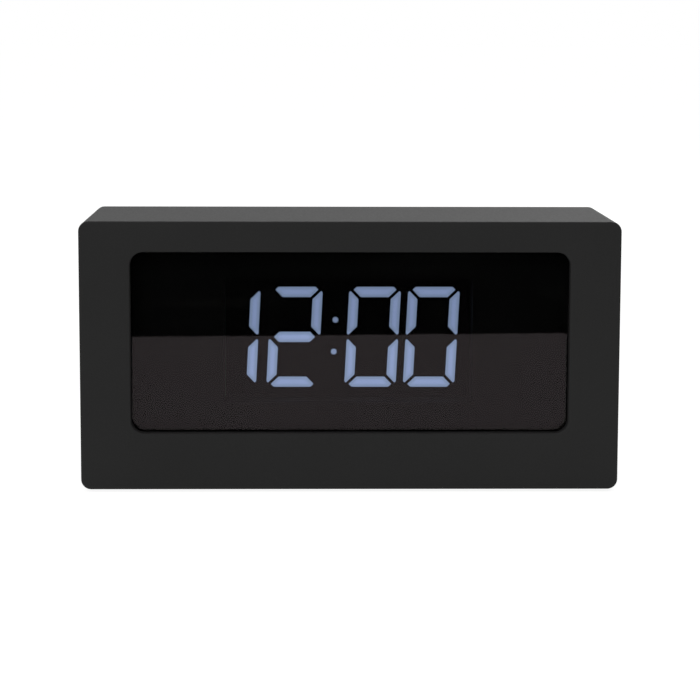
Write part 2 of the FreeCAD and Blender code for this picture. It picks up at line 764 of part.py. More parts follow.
def make_capacitors():
    depth = f"{MAIN_BOARD_FRONT} - capacitor_height"
    body = new_body("capacitors", "capacitor_along", depth, MAIN_BOARD_MID)
    cans = new_sketch(body, "capacitor_cans")
    for side in (-1, 1):
        add_circle(cans, f"{side} * capacitor_spacing / 2", "0", "capacitor_diameter")
    pad(body, cans, "capacitor_height")
    round_edges(body, "edge_round", lambda edge: at_depth(edge, 0))
    return body


def make_crystal():
    lift = f"{MAIN_BOARD_MID} - crystal_length / 2"
    body = new_body("crystal_can", "crystal_along", f"{MAIN_BOARD_FRONT} - crystal_diameter / 2", lift)
    can = new_sketch(body, "crystal_round", "0", "XY_Plane")
    add_circle(can, "0", "0", "crystal_diameter")
    pad(body, can, "crystal_length")
    return body


def make_transistors():
    depth = f"{MAIN_BOARD_FRONT} - transistor_thickness"
    body = new_body("driver_transistors", "transistor_along", depth, MAIN_BOARD_MID)
    package = new_sketch(body, "transistor_package")
    column = "(transistor_count - 1) * transistor_spacing"
    add_rectangle(package, "0", f"-({column}) / 2", "transistor_width", "transistor_height")
    first = pad(body, package, "transistor_thickness")
    repeat(body, first, "Z_Axis", column, "transistor_count", "transistor_column")
    return body


def make_resistors():
    """One chip resistor for each segment line."""
    depth = f"{MAIN_BOARD_FRONT} - led_thickness"
    body = new_body("segment_resistors", "resistor_along", depth, MAIN_BOARD_MID)
    chip = new_sketch(body, "resistor_chip")
    column = "(resistor_count - 1) * resistor_spacing"
    add_rectangle(chip, "0", f"-({column}) / 2", "led_length", "led_width")
    first = pad(body, chip, "led_thickness")
    repeat(body, first, "Z_Axis", column, "resistor_count", "resistor_column")
    return body


def make_ribbon():
    """Flat cable in an S: out of the display's plug, up, and into the main board's plug."""
    start_y = f"({DISPLAY_BOARD_BACK} + plug_depth)"
    start_z = f"({WINDOW_MID} - display_plug_drop)"
    run_y = f"({MAIN_BOARD_FRONT} - plug_depth - {start_y})"
    run_z = f"({MAIN_BOARD_MID} - main_plug_drop - {start_z})"
    half = "ribbon_thickness / 2"
    rise = f"{run_y} / 2"
    bend = f"({rise} / 2)"
    body = new_body("ribbon_cable", "display_shift", start_y, start_z)
    path = new_sketch(body, "ribbon_side", "0", "YZ_Plane")
    corners = [("0", f"-{half}"), (f"{rise} + {half}", f"-{half}")]
    corners += [(f"{rise} + {half}", f"{run_z} - {half}"), (run_y, f"{run_z} - {half}")]
    corners += [(run_y, f"{run_z} + {half}"), (f"{rise} - {half}", f"{run_z} + {half}")]
    corners += [(f"{rise} - {half}", half), ("0", half)]
    wide, tight = f"{bend} + {half}", f"{bend} - {half}"
    add_outline(path, corners, [None, wide, tight, None, None, wide, tight, None])
    pad(body, path, "ribbon_width", midplane=True)
    return body


def make_ribbon_plugs():
    made = []
    for label, depth, lift in (
        ("display_plug", DISPLAY_BOARD_BACK, f"{WINDOW_MID} - display_plug_drop"),
        ("main_plug", f"{MAIN_BOARD_FRONT} - plug_depth", f"{MAIN_BOARD_MID} - main_plug_drop"),
    ):
        body = new_body(label, "display_shift", depth, lift)
        shell = new_sketch(body, f"{label}_shell")
        add_rectangle(shell, "0", "0", "plug_width", "plug_height")
        pad(body, shell, "plug_depth")
        made.append(body)
    return made


# Back cover
def make_back_cover():
    body = new_body("back_cover", "0", COVER_INSIDE, CASE_MID)
    plate = new_sketch(body, "cover_plate")
    slack = "2 * case_wall - 2 * fit_gap"
    add_rounded(plate, "0", "0", f"case_width - {slack}", f"case_height - {slack}", "inner_corner")
    pad(body, plate, "cover_thickness")

    cups = new_sketch(body, "screw_cups", "-cup_height")
    for sx, sz in SIGNS:
        add_circle(cups, f"{sx} * {COVER_SCREW_X}", f"{sz} * {COVER_SCREW_Z}",
                   "2 * (cover_screw_inset - fit_gap)")
    pad(body, cups, "cup_height + cover_thickness / 2")

    posts = new_sketch(body, "main_board_posts", f"-{KEY_STACK}")
    for x, z in main_post_spots():
        add_circle(posts, x, f"main_board_lift + {z}", "main_post")
    pad(body, posts, f"{KEY_STACK} + cover_thickness / 2")

    well = new_sketch(body, "battery_well_block", f"{WELL_BOTTOM} - well_floor - {COVER_INSIDE}")
    add_rectangle(well, WELL_X, "well_lift", f"{WELL_LENGTH} + 2 * well_wall",
                  f"{WELL_HEIGHT} + 2 * well_wall")
    pad(body, well, f"{COVER_INSIDE} - {WELL_BOTTOM} + well_floor + cover_thickness / 2")

    cavity = new_sketch(body, "battery_cavity", f"{WELL_BOTTOM} - {COVER_INSIDE}")
    add_rectangle(cavity, WELL_X, "well_lift", WELL_LENGTH, WELL_HEIGHT)
    pocket(body, cavity, f"{COVER_OUTSIDE} - {WELL_BOTTOM}")

    rebate = new_sketch(body, "door_rebate", f"{DOOR_INSIDE} - {COVER_INSIDE}")
    gaps = "2 * door_gap"
    add_rectangle(rebate, WELL_X, "well_lift", f"{DOOR_WIDTH} + {gaps}", f"{DOOR_HEIGHT} + {gaps}")
    pocket(body, rebate, "door_thickness")

    hinge = new_sketch(body, "hinge_sockets", WELL_X, "YZ_Plane")
    add_circle(hinge, f"{COVER_OUTSIDE} - door_thickness / 2 - {COVER_INSIDE}",
               f"well_lift - {DOOR_HEIGHT} / 2 + door_thickness / 2", "hinge_pin + 2 * hinge_gap")
    pocket(body, hinge, f"{DOOR_WIDTH} + 2 * (hinge_pin_length + door_gap)", midplane=True)

    keyways = new_sketch(body, "button_holes")
    for x in button_centres():
        add_circle(keyways, x, "button_lift", "button_diameter + 2 * fit_gap")
    add_rectangle(keyways, "slider_along", "button_lift", "knob_length + slider_travel + 2 * fit_gap",
                  "knob_height + 2 * fit_gap")
    add_rounded(keyways, SOCKET_X, "socket_lift", "socket_width + 2 * fit_gap",
                "socket_height + 2 * fit_gap", "socket_height / 2")
    for x, z in grille_spots():
        add_circle(keyways, x, z, "grille_hole")
    pocket(body, keyways, "cover_thickness")

    screws = new_sketch(body, "screw_holes", "-cup_height")
    for sx, sz in SIGNS:
        spot = (f"{sx} * {COVER_SCREW_X}", f"{sz} * {COVER_SCREW_Z}")
        add_circle(screws, *spot, "cover_screw + 2 * fit_gap")
    pocket(body, screws, "cup_floor")

    heads = new_sketch(body, "screw_head_cups", "cup_floor - cup_height")
    for sx, sz in SIGNS:
        spot = (f"{sx} * {COVER_SCREW_X}", f"{sz} * {COVER_SCREW_Z}")
        add_circle(heads, *spot, "cover_head + 2 * fit_gap")
    pocket(body, heads, "cover_thickness + cup_height - cup_floor")

    pilots = new_sketch(body, "main_board_pilots", f"-{KEY_STACK}")
    for x, z in main_post_spots():
        add_circle(pilots, x, f"main_board_lift + {z}", "board_screw")
    pocket(body, pilots, "board_screw_length")

    label = new_sketch(body, "label_panel", "cover_thickness - label_depth")
    add_rounded(label, "label_along", "well_lift", "label_width", "label_height", "inner_corner")
    pocket(body, label, "label_depth")
    return body


def button_centres():
    return [f"(button_start + {i} * button_pitch)" for i in range(len(BUTTONS))]


def grille_spots():
    """Seven sound holes in a hexagon over the sounder, as (x, z) from the middle of the cover."""
    half, rise = "grille_pitch / 2", "grille_pitch * sqrt(3) / 2"
    around = [(f"{sx} * {half}", f"{sz} * {rise}") for sx, sz in SIGNS]
    around += [("0", "0"), ("grille_pitch", "0"), ("-grille_pitch", "0")]
    return [(f"{SOUNDER_X} + {x}", f"sounder_lift + {z}") for x, z in around]


def make_screws(label, spots, seat, size, length, head, head_height, towards_front):
    """A group of cross-head screws. seat is the plane under their heads, and spots are (x, z)."""
    body = new_body(label, "0", seat, "0")
    shanks = new_sketch(body, f"{label}_shanks", f"-({length})" if towards_front else "0")
    for x, z in spots:
        add_circle(shanks, x, z, f"{size} - 2 * thread_gap")
    pad(body, shanks, length)
    heads = new_sketch(body, f"{label}_heads", "0" if towards_front else f"-({head_height})")
    for x, z in spots:
        add_circle(heads, x, z, head)
    pad(body, heads, head_height)
    crosses = ("cross_length", "cross_width"), ("cross_width", "cross_length")
    for width, height in crosses:
        slot = new_sketch(body, f"{label}_{width}", f"{head_height} - cross_depth" if towards_front
                          else f"-({head_height})")
        for x, z in spots:
            add_rectangle(slot, x, z, width, height)
        pocket(body, slot, "cross_depth")
    return body


def make_all_screws():
    cover = [(f"{sx} * {COVER_SCREW_X}", f"{CASE_MID} + {sz} * {COVER_SCREW_Z}") for sx, sz in SIGNS]
    ears = [(f"{sx} * {CARRIER_POST_X}", f"{WINDOW_MID} + {sz} * post_spacing / 2") for sx, sz in SIGNS]
    display = [(x, f"{WINDOW_MID} + {z}") for x, z in display_post_spots()]
    main = [(x, f"{MAIN_BOARD_MID} + {z}") for x, z in main_post_spots()]
    small = ("board_screw", "board_screw_length", "board_head", "board_head_height")
    return [
        make_screws("cover_screws", cover, f"{CUP_SEAT} + cup_floor", "cover_screw", "cover_screw_length",
                    "cover_head", "cover_head_height", True),
        make_screws("carrier_screws", ears, CARRIER_BACK, *small, True),
        make_screws("display_board_screws", display, DISPLAY_BOARD_BACK, *small, True),
        make_screws("main_board_screws", main, MAIN_BOARD_FRONT, *small, False),
    ]


# Keys and switches
BUTTONS = ("time", "alarm", "minus", "plus", "light")


def make_buttons():
    """Each key is a cap with a flange behind the cover and a post that presses its switch's stem."""
    made = []
    for name, x in zip(BUTTONS, button_centres()):
        body = new_body(f"{name}_button", x, COVER_OUTSIDE, BUTTON_MID)
        cap = new_sketch(body, f"{name}_cap", f"{FLANGE_TOP} - {COVER_OUTSIDE}")
        add_circle(cap, "0", "0", "button_diameter")
        pad(body, cap, f"{COVER_OUTSIDE} - {FLANGE_TOP} + button_proud")
        top = number("button_proud")
        round_edges(body, "button_round", lambda edge: at_depth(edge, top))
        flange = new_sketch(body, f"{name}_flange", f"{FLANGE_TOP} - flange_thickness - {COVER_OUTSIDE}")
        add_circle(flange, "0", "0", "button_flange")
        pad(body, flange, "flange_thickness")
        foot = f"({SWITCH_TOP} + stem_height + stem_gap)"
        post = new_sketch(body, f"{name}_post", f"{foot} - {COVER_OUTSIDE}")
        add_circle(post, "0", "0", "button_post")
        pad(body, post, f"{FLANGE_TOP} - flange_thickness - {foot}")
        made.append(body)

        stem = new_body(f"{name}_switch_stem", x, SWITCH_TOP, BUTTON_MID)
        plunger = new_sketch(stem, f"{name}_plunger", "-stem_depth")
        add_circle(plunger, "0", "0", "stem_diameter")
        pad(stem, plunger, "stem_depth + stem_height")
        made.append(stem)
    return made


def make_key_switches():
    body = new_body("key_switches", "0", MAIN_BOARD_BACK, BUTTON_MID)
    cases = new_sketch(body, "switch_cases")
    for x in button_centres():
        add_rectangle(cases, x, "0", "switch_side", "switch_side")
    pad(body, cases, "switch_height")
    bore_depth = "(stem_depth + button_travel + fit_gap)"
    bores = new_sketch(body, "switch_bores", f"switch_height - {bore_depth}")
    for x in button_centres():
        add_circle(bores, x, "0", "stem_diameter + 2 * slide_gap")
    pocket(body, bores, bore_depth)
    return body


def make_alarm_slider():
    """The switch case on the board, its lever, and the knob that reaches through the cover."""
    rest = "slider_along - slider_travel / 2"
    case = new_body("alarm_switch_case", "slider_along", MAIN_BOARD_BACK, BUTTON_MID)
    shell = new_sketch(case, "slide_case")
    add_rectangle(shell, "0", "0", "slide_body_length", "slide_body_height")
    pad(case, shell, "slide_body_depth")
    slot = new_sketch(case, "slide_slot", "slide_body_depth - lever_depth - fit_gap")
    run = "slider_travel + 2 * fit_gap"
    add_rectangle(slot, "0", "0", f"lever_length + {run}", "lever_height + 2 * slide_gap")
    pocket(case, slot, "lever_depth + fit_gap")

    top = f"({MAIN_BOARD_BACK} + slide_body_depth)"
    lever = new_body("alarm_switch_lever", rest, top, BUTTON_MID)
    bar = new_sketch(lever, "lever_bar", "-lever_depth")
    add_rectangle(bar, "0", "0", "lever_length", "lever_height")
    pad(lever, bar, f"lever_depth + {FLANGE_TOP} - flange_thickness - {top}")

    knob = new_body("alarm_slider", rest, f"{FLANGE_TOP} - flange_thickness", BUTTON_MID)
    skirt = new_sketch(knob, "slider_skirt")
    add_rectangle(skirt, "0", "0", f"knob_length + 2 * ({run})", "knob_height + 4 * flange_gap")
    pad(knob, skirt, "flange_thickness")
    grip = new_sketch(knob, "slider_grip")
    add_rectangle(grip, "0", "0", "knob_length", "knob_height")
    tall = f"(flange_thickness + {COVER_OUTSIDE} - {FLANGE_TOP} + knob_proud)"
    pad(knob, grip, tall)
    grooves = new_sketch(knob, "slider_grooves", f"{tall} - grip_depth")
    for i in (-1, 0, 1):
        add_rectangle(grooves, f"{i} * 2 * groove_width", "0", "groove_width", "knob_height")
    pocket(knob, grooves, "grip_depth")
    return [case, lever, knob]


def make_socket():
    depth = f"({COVER_OUTSIDE} - socket_setback - {MAIN_BOARD_BACK})"
    middle = f"{CASE_MID} + socket_lift"
    shell = new_body("usb_socket_shell", SOCKET_X, MAIN_BOARD_BACK, middle)
    tube = new_sketch(shell, "socket_tube")
    add_rounded(tube, "0", "0", "socket_width", "socket_height", "socket_height / 2 - socket_shell")
    pad(shell, tube, depth)
    bore = new_sketch(shell, "socket_bore")
    wall = "2 * socket_shell"
    add_rounded(bore, "0", "0", f"socket_width - {wall}", f"socket_height - {wall}",
                "socket_height / 2 - 2 * socket_shell")
    pocket(shell, bore, depth)

    core = new_body("usb_socket_tongue", SOCKET_X, MAIN_BOARD_BACK, middle)
    base = new_sketch(core, "socket_base_block")
    add_rounded(base, "0", "0", f"socket_width - {wall}", f"socket_height - {wall}",
                "socket_height / 2 - 2 * socket_shell")
    pad(core, base, "socket_base")
    tongue = new_sketch(core, "socket_tongue_bar")
    add_rectangle(tongue, "0", "0", "tongue_width", "tongue_thickness")
    pad(core, tongue, f"{depth} - tongue_setback")
    return [shell, core]


def make_sounder():
    body = new_body("alarm_sounder", SOUNDER_X, MAIN_BOARD_BACK, f"{CASE_MID} + sounder_lift")
    height = f"({KEY_STACK} - sounder_top_gap)"
    can = new_sketch(body, "sounder_can")
    add_circle(can, "0", "0", "sounder_diameter")
    pad(body, can, height)
    port = new_sketch(body, "sounder_port_hole", f"{height} - sounder_port")
    add_circle(port, "0", "0", "sounder_port")
    pocket(body, port, "sounder_port")
    return body


# Battery bay
CELL_ROWS = {"upper": 1, "lower": -1}
CELL_START = f"({WELL_X} - cell_length / 2)"
WELL_LEFT = f"({WELL_X} - {WELL_LENGTH} / 2)"
WELL_RIGHT = f"({WELL_X} + {WELL_LENGTH} / 2)"


def cell_height(sign):
    return f"({WELL_MID} + {sign} * (cell_diameter + cell_gap) / 2)"


def make_batteries():
    """Two AAA cells that lie opposite ways round."""
    made = []
    for row, sign in CELL_ROWS.items():
        body = new_body(f"battery_{row}", CELL_START, CELL_AXIS, cell_height(sign))
        can = new_sketch(body, f"{row}_cell", "0", "YZ_Plane")
        add_circle(can, "0", "0", "cell_diameter")
        pad(body, can, "cell_length")
        start = "cell_length" if sign > 0 else "-nub_length"
        nub = new_sketch(body, f"{row}_nub", start, "YZ_Plane")
        add_circle(nub, "0", "0", "nub_diameter")
        pad(body, nub, "nub_length")
        made.append(body)
    return made


def make_battery_contacts():
    """A plate at each end of each cell, one joined across both, and a coil spring at each flat end."""
    plates = new_body("battery_plates", "0", CELL_AXIS, WELL_MID)
    row = "(cell_diameter + cell_gap) / 2"
    left = new_sketch(plates, "left_plates", WELL_LEFT, "YZ_Plane")
    for sign in CELL_ROWS.values():
        add_rectangle(left, "0", f"{sign} * {row}", "plate_height", "plate_width")
    pad(plates, left, "plate_thickness")
    right = new_sketch(plates, "right_plate", f"{WELL_RIGHT} - plate_thickness", "YZ_Plane")
    add_rectangle(right, "0", "0", "plate_height", f"plate_width + 2 * {row}")
    pad(plates, right, "plate_thickness")
    reach = f"({WELL_RIGHT} - plate_thickness - {CELL_START} - cell_length - nub_length - thread_gap)"
    pips = new_sketch(plates, "right_pip", f"{WELL_RIGHT} - plate_thickness - {reach}", "YZ_Plane")
    add_circle(pips, "0", row, "nub_diameter")
    pad(plates, pips, reach)
    left_pip = new_sketch(plates, "left_pip", f"{WELL_LEFT} + plate_thickness", "YZ_Plane")
    add_circle(left_pip, "0", f"-{row}", "nub_diameter")
    pad(plates, left_pip, reach)

    wire, clearance = number("spring_wire"), number("thread_gap")
    room = number(f"{CELL_START} - {WELL_LEFT} - plate_thickness") - wire - 2 * clearance
    coils = []
    for sign, start in ((1, f"{WELL_LEFT} + plate_thickness"), (-1, f"{CELL_START} + cell_length")):
        coil = coil_spring(room, number("spring_radius"), wire, round(number("spring_half_turns")))
        along = number(start) + wire / 2 + clearance
        spot = Vector(along, number(CELL_AXIS), number(cell_height(sign)))
        coil.Placement = Placement(spot, Rotation(Vector(0, 1, 0), 90))
        coils.append(coil)
    return [plates, plain_piece("battery_springs", Part.makeCompound(coils))]


def coil_spring(height, radius, wire, half_turns):
    """A coil about the Z axis, as one arc for each half turn."""

    def spot(quarter):
        angle = quarter * math.pi / 2
        rise = height * quarter / (2 * half_turns)
        return Vector(radius * math.cos(angle), radius * math.sin(angle), rise)

    arcs = [Part.Arc(spot(2 * i), spot(2 * i + 1), spot(2 * i + 2)).toShape() for i in range(half_turns)]
    first = arcs[0]
    ring = Part.makeCircle(wire / 2, spot(0), first.tangentAt(first.FirstParameter))
    return Part.Wire(arcs).makePipeShell([Part.Wire(ring)], True, True)


def make_battery_door():
    """A flap on two pins along its lower edge, with a springy tab at the top. Its origin is its hinge."""
    axis_y = f"{COVER_OUTSIDE} - door_thickness / 2"
    axis_z = f"{WELL_MID} - {DOOR_HEIGHT} / 2 + door_thickness / 2"
    body = new_body("battery_door", WELL_X, axis_y, axis_z)
    top = f"({DOOR_HEIGHT} - door_thickness / 2)"
    leaf = new_sketch(body, "door_leaf", "-door_thickness / 2")
    half = f"{DOOR_WIDTH} / 2"
    add_polygon(leaf, [(f"-{half}", "0"), (half, "0"), (half, top), (f"-{half}", top)])
    pad(body, leaf, "door_thickness")
    roll = new_sketch(body, "door_roll", "0", "YZ_Plane")
    add_circle(roll, "0", "0", "door_thickness")
    pad(body, roll, DOOR_WIDTH, midplane=True)
    pins = new_sketch(body, "door_pins", "0", "YZ_Plane")
    add_circle(pins, "0", "0", "hinge_pin")
    pad(body, pins, f"{DOOR_WIDTH} + 2 * hinge_pin_length", midplane=True)
    nib = new_sketch(body, "door_nib", "-door_thickness / 4")
    nib_top = f"({top} + nib_proud)"
    add_rectangle(nib, "0", f"{nib_top} - nib_length / 2", "nib_width", "nib_length")
    pad(body, nib, "door_thickness / 2")

    slits = new_sketch(body, "tab_slits", "-door_thickness / 2")
    for side in (-1, 1):
        x = f"{side} * (tab_width + slit_width) / 2"
        add_rectangle(slits, x, f"{top} - tab_length / 2", "slit_width", "tab_length")
    pocket(body, slits, "door_thickness")
    grips = new_sketch(body, "grip_grooves", "door_thickness / 2 - grip_depth")
    for i in (1, 2, 3):
        z = f"{top} - tab_length - {i} * 2 * groove_width"
        add_rectangle(grips, "0", z, "tab_width", "groove_width")
    pocket(body, grips, "grip_depth")
    return body


def rounded_route(points, radii):
    """A wire of straight runs through the points, with a tangent arc at each inner point."""
    edges = []
    here = points[0]
    for before, corner, after, radius in zip(points, points[1:], points[2:], radii):
        way_in, way_out = (corner - before).normalize(), (after - corner).normalize()
        reach = radius * math.tan(way_in.getAngle(way_out) / 2)
        start, end = corner - way_in * reach, corner + way_out * reach
        middle = corner + (way_out - way_in).normalize() * math.hypot(reach, radius)
        crest = middle + (corner - middle).normalize() * radius
        edges += [Part.LineSegment(here, start), Part.Arc(start, crest, end)]
        here = end
    edges.append(Part.LineSegment(here, points[-1]))
    return Part.Wire([edge.toShape() for edge in edges])


def make_battery_leads():
    """Two insulated wires from the solder tags on the left of the well to the front of the main board."""
    radius, bend, spacing = number("lead_diameter") / 2, number("lead_bend"), number("lead_spacing")
    depth = number(f"{MAIN_BOARD_FRONT} - lead_clearance")
    wall = number(f"{WELL_LEFT} - well_wall")
    board = number("lead_board_along - main_board_width / 2")
    made = []
    for i, (label, row) in enumerate((("red_battery_lead", "upper"), ("black_battery_lead", "lower"))):
        low = number(cell_height(CELL_ROWS[row]))
        high = number(f"{MAIN_BOARD_MID} - lead_board_drop") + i * spacing
        outer = wall - number("lead_reach") - i * spacing
        points = [Vector(wall, depth, low), Vector(outer, depth, low), Vector(outer, depth, high),
                  Vector(board, depth, high), Vector(board, number(MAIN_BOARD_FRONT), high)]
        route = rounded_route(points, [bend, bend, 2 * radius])
        ring = Part.Wire(Part.makeCircle(radius, points[0], Vector(1, 0, 0)))
        tube = route.makePipeShell([ring], True, True)
        if abs(tube.Volume - math.pi * radius ** 2 * route.Length) > 0.01 * tube.Volume:
            raise RuntimeError(f"{label} lost its round section")
        made.append(plain_piece(label, tube))
    return made


PIECES = [make_front_housing(), make_rubber_feet(), *make_window(), make_display_carrier()]
PIECES += [make_reflector(), *make_diffusers(), make_leds(), make_display_board()]
PIECES += [make_main_board(), make_clock_chip()]
PIECES += [make_capacitors(), make_crystal(), make_transistors(), make_resistors()]
PIECES += [make_ribbon(), *make_ribbon_plugs()]
PIECES += [make_back_cover(), *make_all_screws(), *make_buttons(), make_key_switches()]
PIECES += [*make_alarm_slider(), *make_socket(), make_sounder(), *make_batteries()]
PIECES += [*make_battery_contacts(), make_battery_door(), *make_battery_leads()]
doc.recompute()

for item in doc.Objects:
    if {"Invalid", "Error"} & set(item.State):
        raise RuntimeError(f"{item.Name} failed: {item.State}")
for piece in PIECES:
    if piece.Shape.isNull() or not piece.Shape.isValid() or piece.Shape.Volume <= 0:
        raise RuntimeError(f"{piece.Label} has no valid shape")
for piece in PIECES:
    piece.Shape.exportStep(f"parts/{piece.Label}.step")
print(len(PIECES), "pieces written")
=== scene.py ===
import bmesh
import bpy
import math
from mathutils import Matrix, Vector


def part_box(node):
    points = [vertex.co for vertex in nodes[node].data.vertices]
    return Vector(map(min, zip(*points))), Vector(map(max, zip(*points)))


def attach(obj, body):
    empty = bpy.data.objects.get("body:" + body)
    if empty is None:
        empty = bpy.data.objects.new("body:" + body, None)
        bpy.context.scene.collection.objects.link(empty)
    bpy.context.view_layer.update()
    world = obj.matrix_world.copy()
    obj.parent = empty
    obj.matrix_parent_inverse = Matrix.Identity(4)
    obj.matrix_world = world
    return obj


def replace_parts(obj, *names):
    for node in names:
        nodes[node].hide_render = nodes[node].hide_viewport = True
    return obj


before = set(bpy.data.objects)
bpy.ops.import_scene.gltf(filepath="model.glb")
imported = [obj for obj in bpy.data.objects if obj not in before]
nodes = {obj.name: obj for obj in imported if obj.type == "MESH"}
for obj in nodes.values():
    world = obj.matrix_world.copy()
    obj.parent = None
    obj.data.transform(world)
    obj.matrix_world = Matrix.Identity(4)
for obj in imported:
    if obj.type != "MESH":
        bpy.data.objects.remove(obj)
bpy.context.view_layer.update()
scene = bpy.context.scene
mm = 0.001
print("frame loaded,", len(nodes), "CAD pieces")


# Small helpers

def linear(hexColour):  # sRGB hex to the linear colour that shaders take
    channels = [int(hexColour[i:i + 2], 16) / 255 for i in (1, 3, 5)]
    return [c / 12.92 if c <= 0.04045 else ((c + 0.055) / 1.055) ** 2.4 for c in channels] + [1.0]


def perMetre(sizeMm):  # texture scale for a pattern that repeats every sizeMm
    return 1000 / sizeMm


def addNode(tree, kind, settings={}, links={}):  # settings are sockets by name or number, or properties
    node = tree.nodes.new(kind)
    for key, value in settings.items():
        if isinstance(key, int) or key in node.inputs:
            node.inputs[key].default_value = value
        else:
            setattr(node, key, value)
    for key, (source, output) in links.items():
        tree.links.new(source.outputs[output], node.inputs[key])
    return node


def twoColours(first, second):  # settings of a colour mix, whose sockets 6 and 7 are its two colours
    return {"data_type": "RGBA", 6: linear(first), 7: linear(second)}


def spread(low, high):  # settings that turn a noise, nearly all of it between 0.3 and 0.7, into a range
    return {"From Min": 0.3, "From Max": 0.7, "To Min": low, "To Max": high}


def startMaterial(name):
    material = bpy.data.materials.new(name)
    material.use_nodes = True
    material.node_tree.nodes.clear()
    return material, material.node_tree


def dress(material, *names):  # gives CAD pieces their finish
    for name in names:
        for slot in nodes[name].material_slots:
            slot.material = material


def middleOf(node):
    low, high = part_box(node)
    return (low + high) / 2


def addPiece(name, mesh, material, body):
    piece = bpy.data.objects.new(name, mesh)
    scene.collection.objects.link(piece)
    piece.data.materials.clear()
    piece.data.materials.append(material)
    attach(piece, body)
    return piece


# Plastics and rubbers

def mouldedPlastic(name, look):
    material, tree = startMaterial(name)
    coords = addNode(tree, "ShaderNodeTexCoord")
    drift = addNode(tree, "ShaderNodeTexNoise", {"Scale": perMetre(look["driftMm"]), "Detail": 2.0},
                    {"Vector": (coords, "Object")})
    grain = addNode(tree, "ShaderNodeTexNoise", {"Scale": perMetre(look["grainMm"]), "Detail": 2.0},
                    {"Vector": (coords, "Object")})
    colour = addNode(tree, "ShaderNodeMix", twoColours(look["colour"], look["lighter"]), {0: (drift, 0)})
    gloss = addNode(tree, "ShaderNodeMapRange", spread(*look["roughness"]), {"Value": (grain, 0)})
    bump = addNode(tree, "ShaderNodeBump", {"Strength": 0.6, "Distance": look["grainDepthMm"] * mm},
                   {"Height": (grain, 0)})
    shader = addNode(tree, "ShaderNodeBsdfPrincipled",
                     {"IOR": look["ior"], "Specular IOR Level": look["specular"]},
                     {"Base Color": (colour, 2), "Roughness": (gloss, 0), "Normal": (bump, 0)})
    addNode(tree, "ShaderNodeOutputMaterial", {}, {"Surface": (shader, 0)})
    return material


# Black ABS moulded in a spark-eroded tool: matt, with a soft pale sheen at a low angle. Its real
# grain is 0.15 mm, which is under a pixel, so it is drawn at 0.6 mm.
caseLook = {"colour": "#1f1f1f", "lighter": "#242424", "driftMm": 38, "grainMm": 0.6,
            "grainDepthMm": 0.02, "roughness": (0.64, 0.74), "ior": 1.52, "specular": 0.19}
dress(mouldedPlastic("texturedBlackAbs", caseLook), "front_housing")

# The same ABS from a finer tool: a shade darker and closer grained than the case.
coverLook = {"colour": "#171718", "lighter": "#1c1c1d", "driftMm": 30, "grainMm": 0.45,
             "grainDepthMm": 0.015, "roughness": (0.6, 0.72), "ior": 1.52, "specular": 0.35}
coverAbs = mouldedPlastic("fineBlackAbs", coverLook)
dress(coverAbs, "back_cover", "battery_door")

# Plain moulded ABS with a soot-black flocked face, so that nothing shows behind the window.
innerLook = {"colour": "#060606", "lighter": "#080808", "driftMm": 14, "grainMm": 4,
             "grainDepthMm": 0.002, "roughness": (0.8, 0.9), "ior": 1.5, "specular": 0.12}
dress(mouldedPlastic("flockedAbs", innerLook), "display_carrier")

# Filled polycarbonate with a matt black printed face: takes almost all light between the bars.
reflectorLook = {"colour": "#020202", "lighter": "#040404", "driftMm": 9, "grainMm": 4,
                 "grainDepthMm": 0.002, "roughness": (0.8, 0.9), "ior": 1.5, "specular": 0.04}
dress(mouldedPlastic("blackPrintedPolycarbonate", reflectorLook), "led_reflector")

# Tinted cast epoxy in the unlit bars: dark enough to vanish behind the window.
darkBarLook = {"colour": "#030304", "lighter": "#050506", "driftMm": 4, "grainMm": 0.8,
               "grainDepthMm": 0.01, "roughness": (0.6, 0.75), "ior": 1.5, "specular": 0.08}
dress(mouldedPlastic("tintedCastEpoxy", darkBarLook), "hour_units_dark_bars", "minute_tens_dark_bars",
      "minute_units_dark_bars", "indicator_dots")

# ABS keys, moulded and tumbled: satin, so that their rims catch the light.
buttonLook = {"colour": "#202022", "lighter": "#262628", "driftMm": 5, "grainMm": 0.4,
              "grainDepthMm": 0.006, "roughness": (0.3, 0.42), "ior": 1.52, "specular": 0.5}
dress(mouldedPlastic("satinBlackAbs", buttonLook), "time_button", "alarm_button", "minus_button",
      "plus_button", "light_button", "alarm_slider")

# Glass-filled nylon of small switches: dull, with pale fibres that mottle it.
switchLook = {"colour": "#1a1a1b", "lighter": "#2b2b2c", "driftMm": 1.2, "grainMm": 0.5,
              "grainDepthMm": 0.015, "roughness": (0.5, 0.7), "ior": 1.53, "specular": 0.5}
dress(mouldedPlastic("glassFilledNylon", switchLook), "key_switches", "alarm_switch_case")

# Unfilled acetal stems: milky off-white with a waxy gloss.
stemLook = {"colour": "#d9d6cc", "lighter": "#e6e3da", "driftMm": 1.5, "grainMm": 0.4,
            "grainDepthMm": 0.004, "roughness": (0.3, 0.4), "ior": 1.48, "specular": 0.5}
dress(mouldedPlastic("waxyAcetal", stemLook), "time_switch_stem", "alarm_switch_stem",
      "minus_switch_stem", "plus_switch_stem", "light_switch_stem", "alarm_switch_lever")

# Moulded nylon plugs on the ribbon: ivory, slightly yellowed where it is thick.
plugLook = {"colour": "#d3ccb4", "lighter": "#e2dcc8", "driftMm": 4, "grainMm": 0.6,
            "grainDepthMm": 0.01, "roughness": (0.4, 0.52), "ior": 1.53, "specular": 0.5}
dress(mouldedPlastic("ivoryNylon", plugLook), "display_plug", "main_plug")

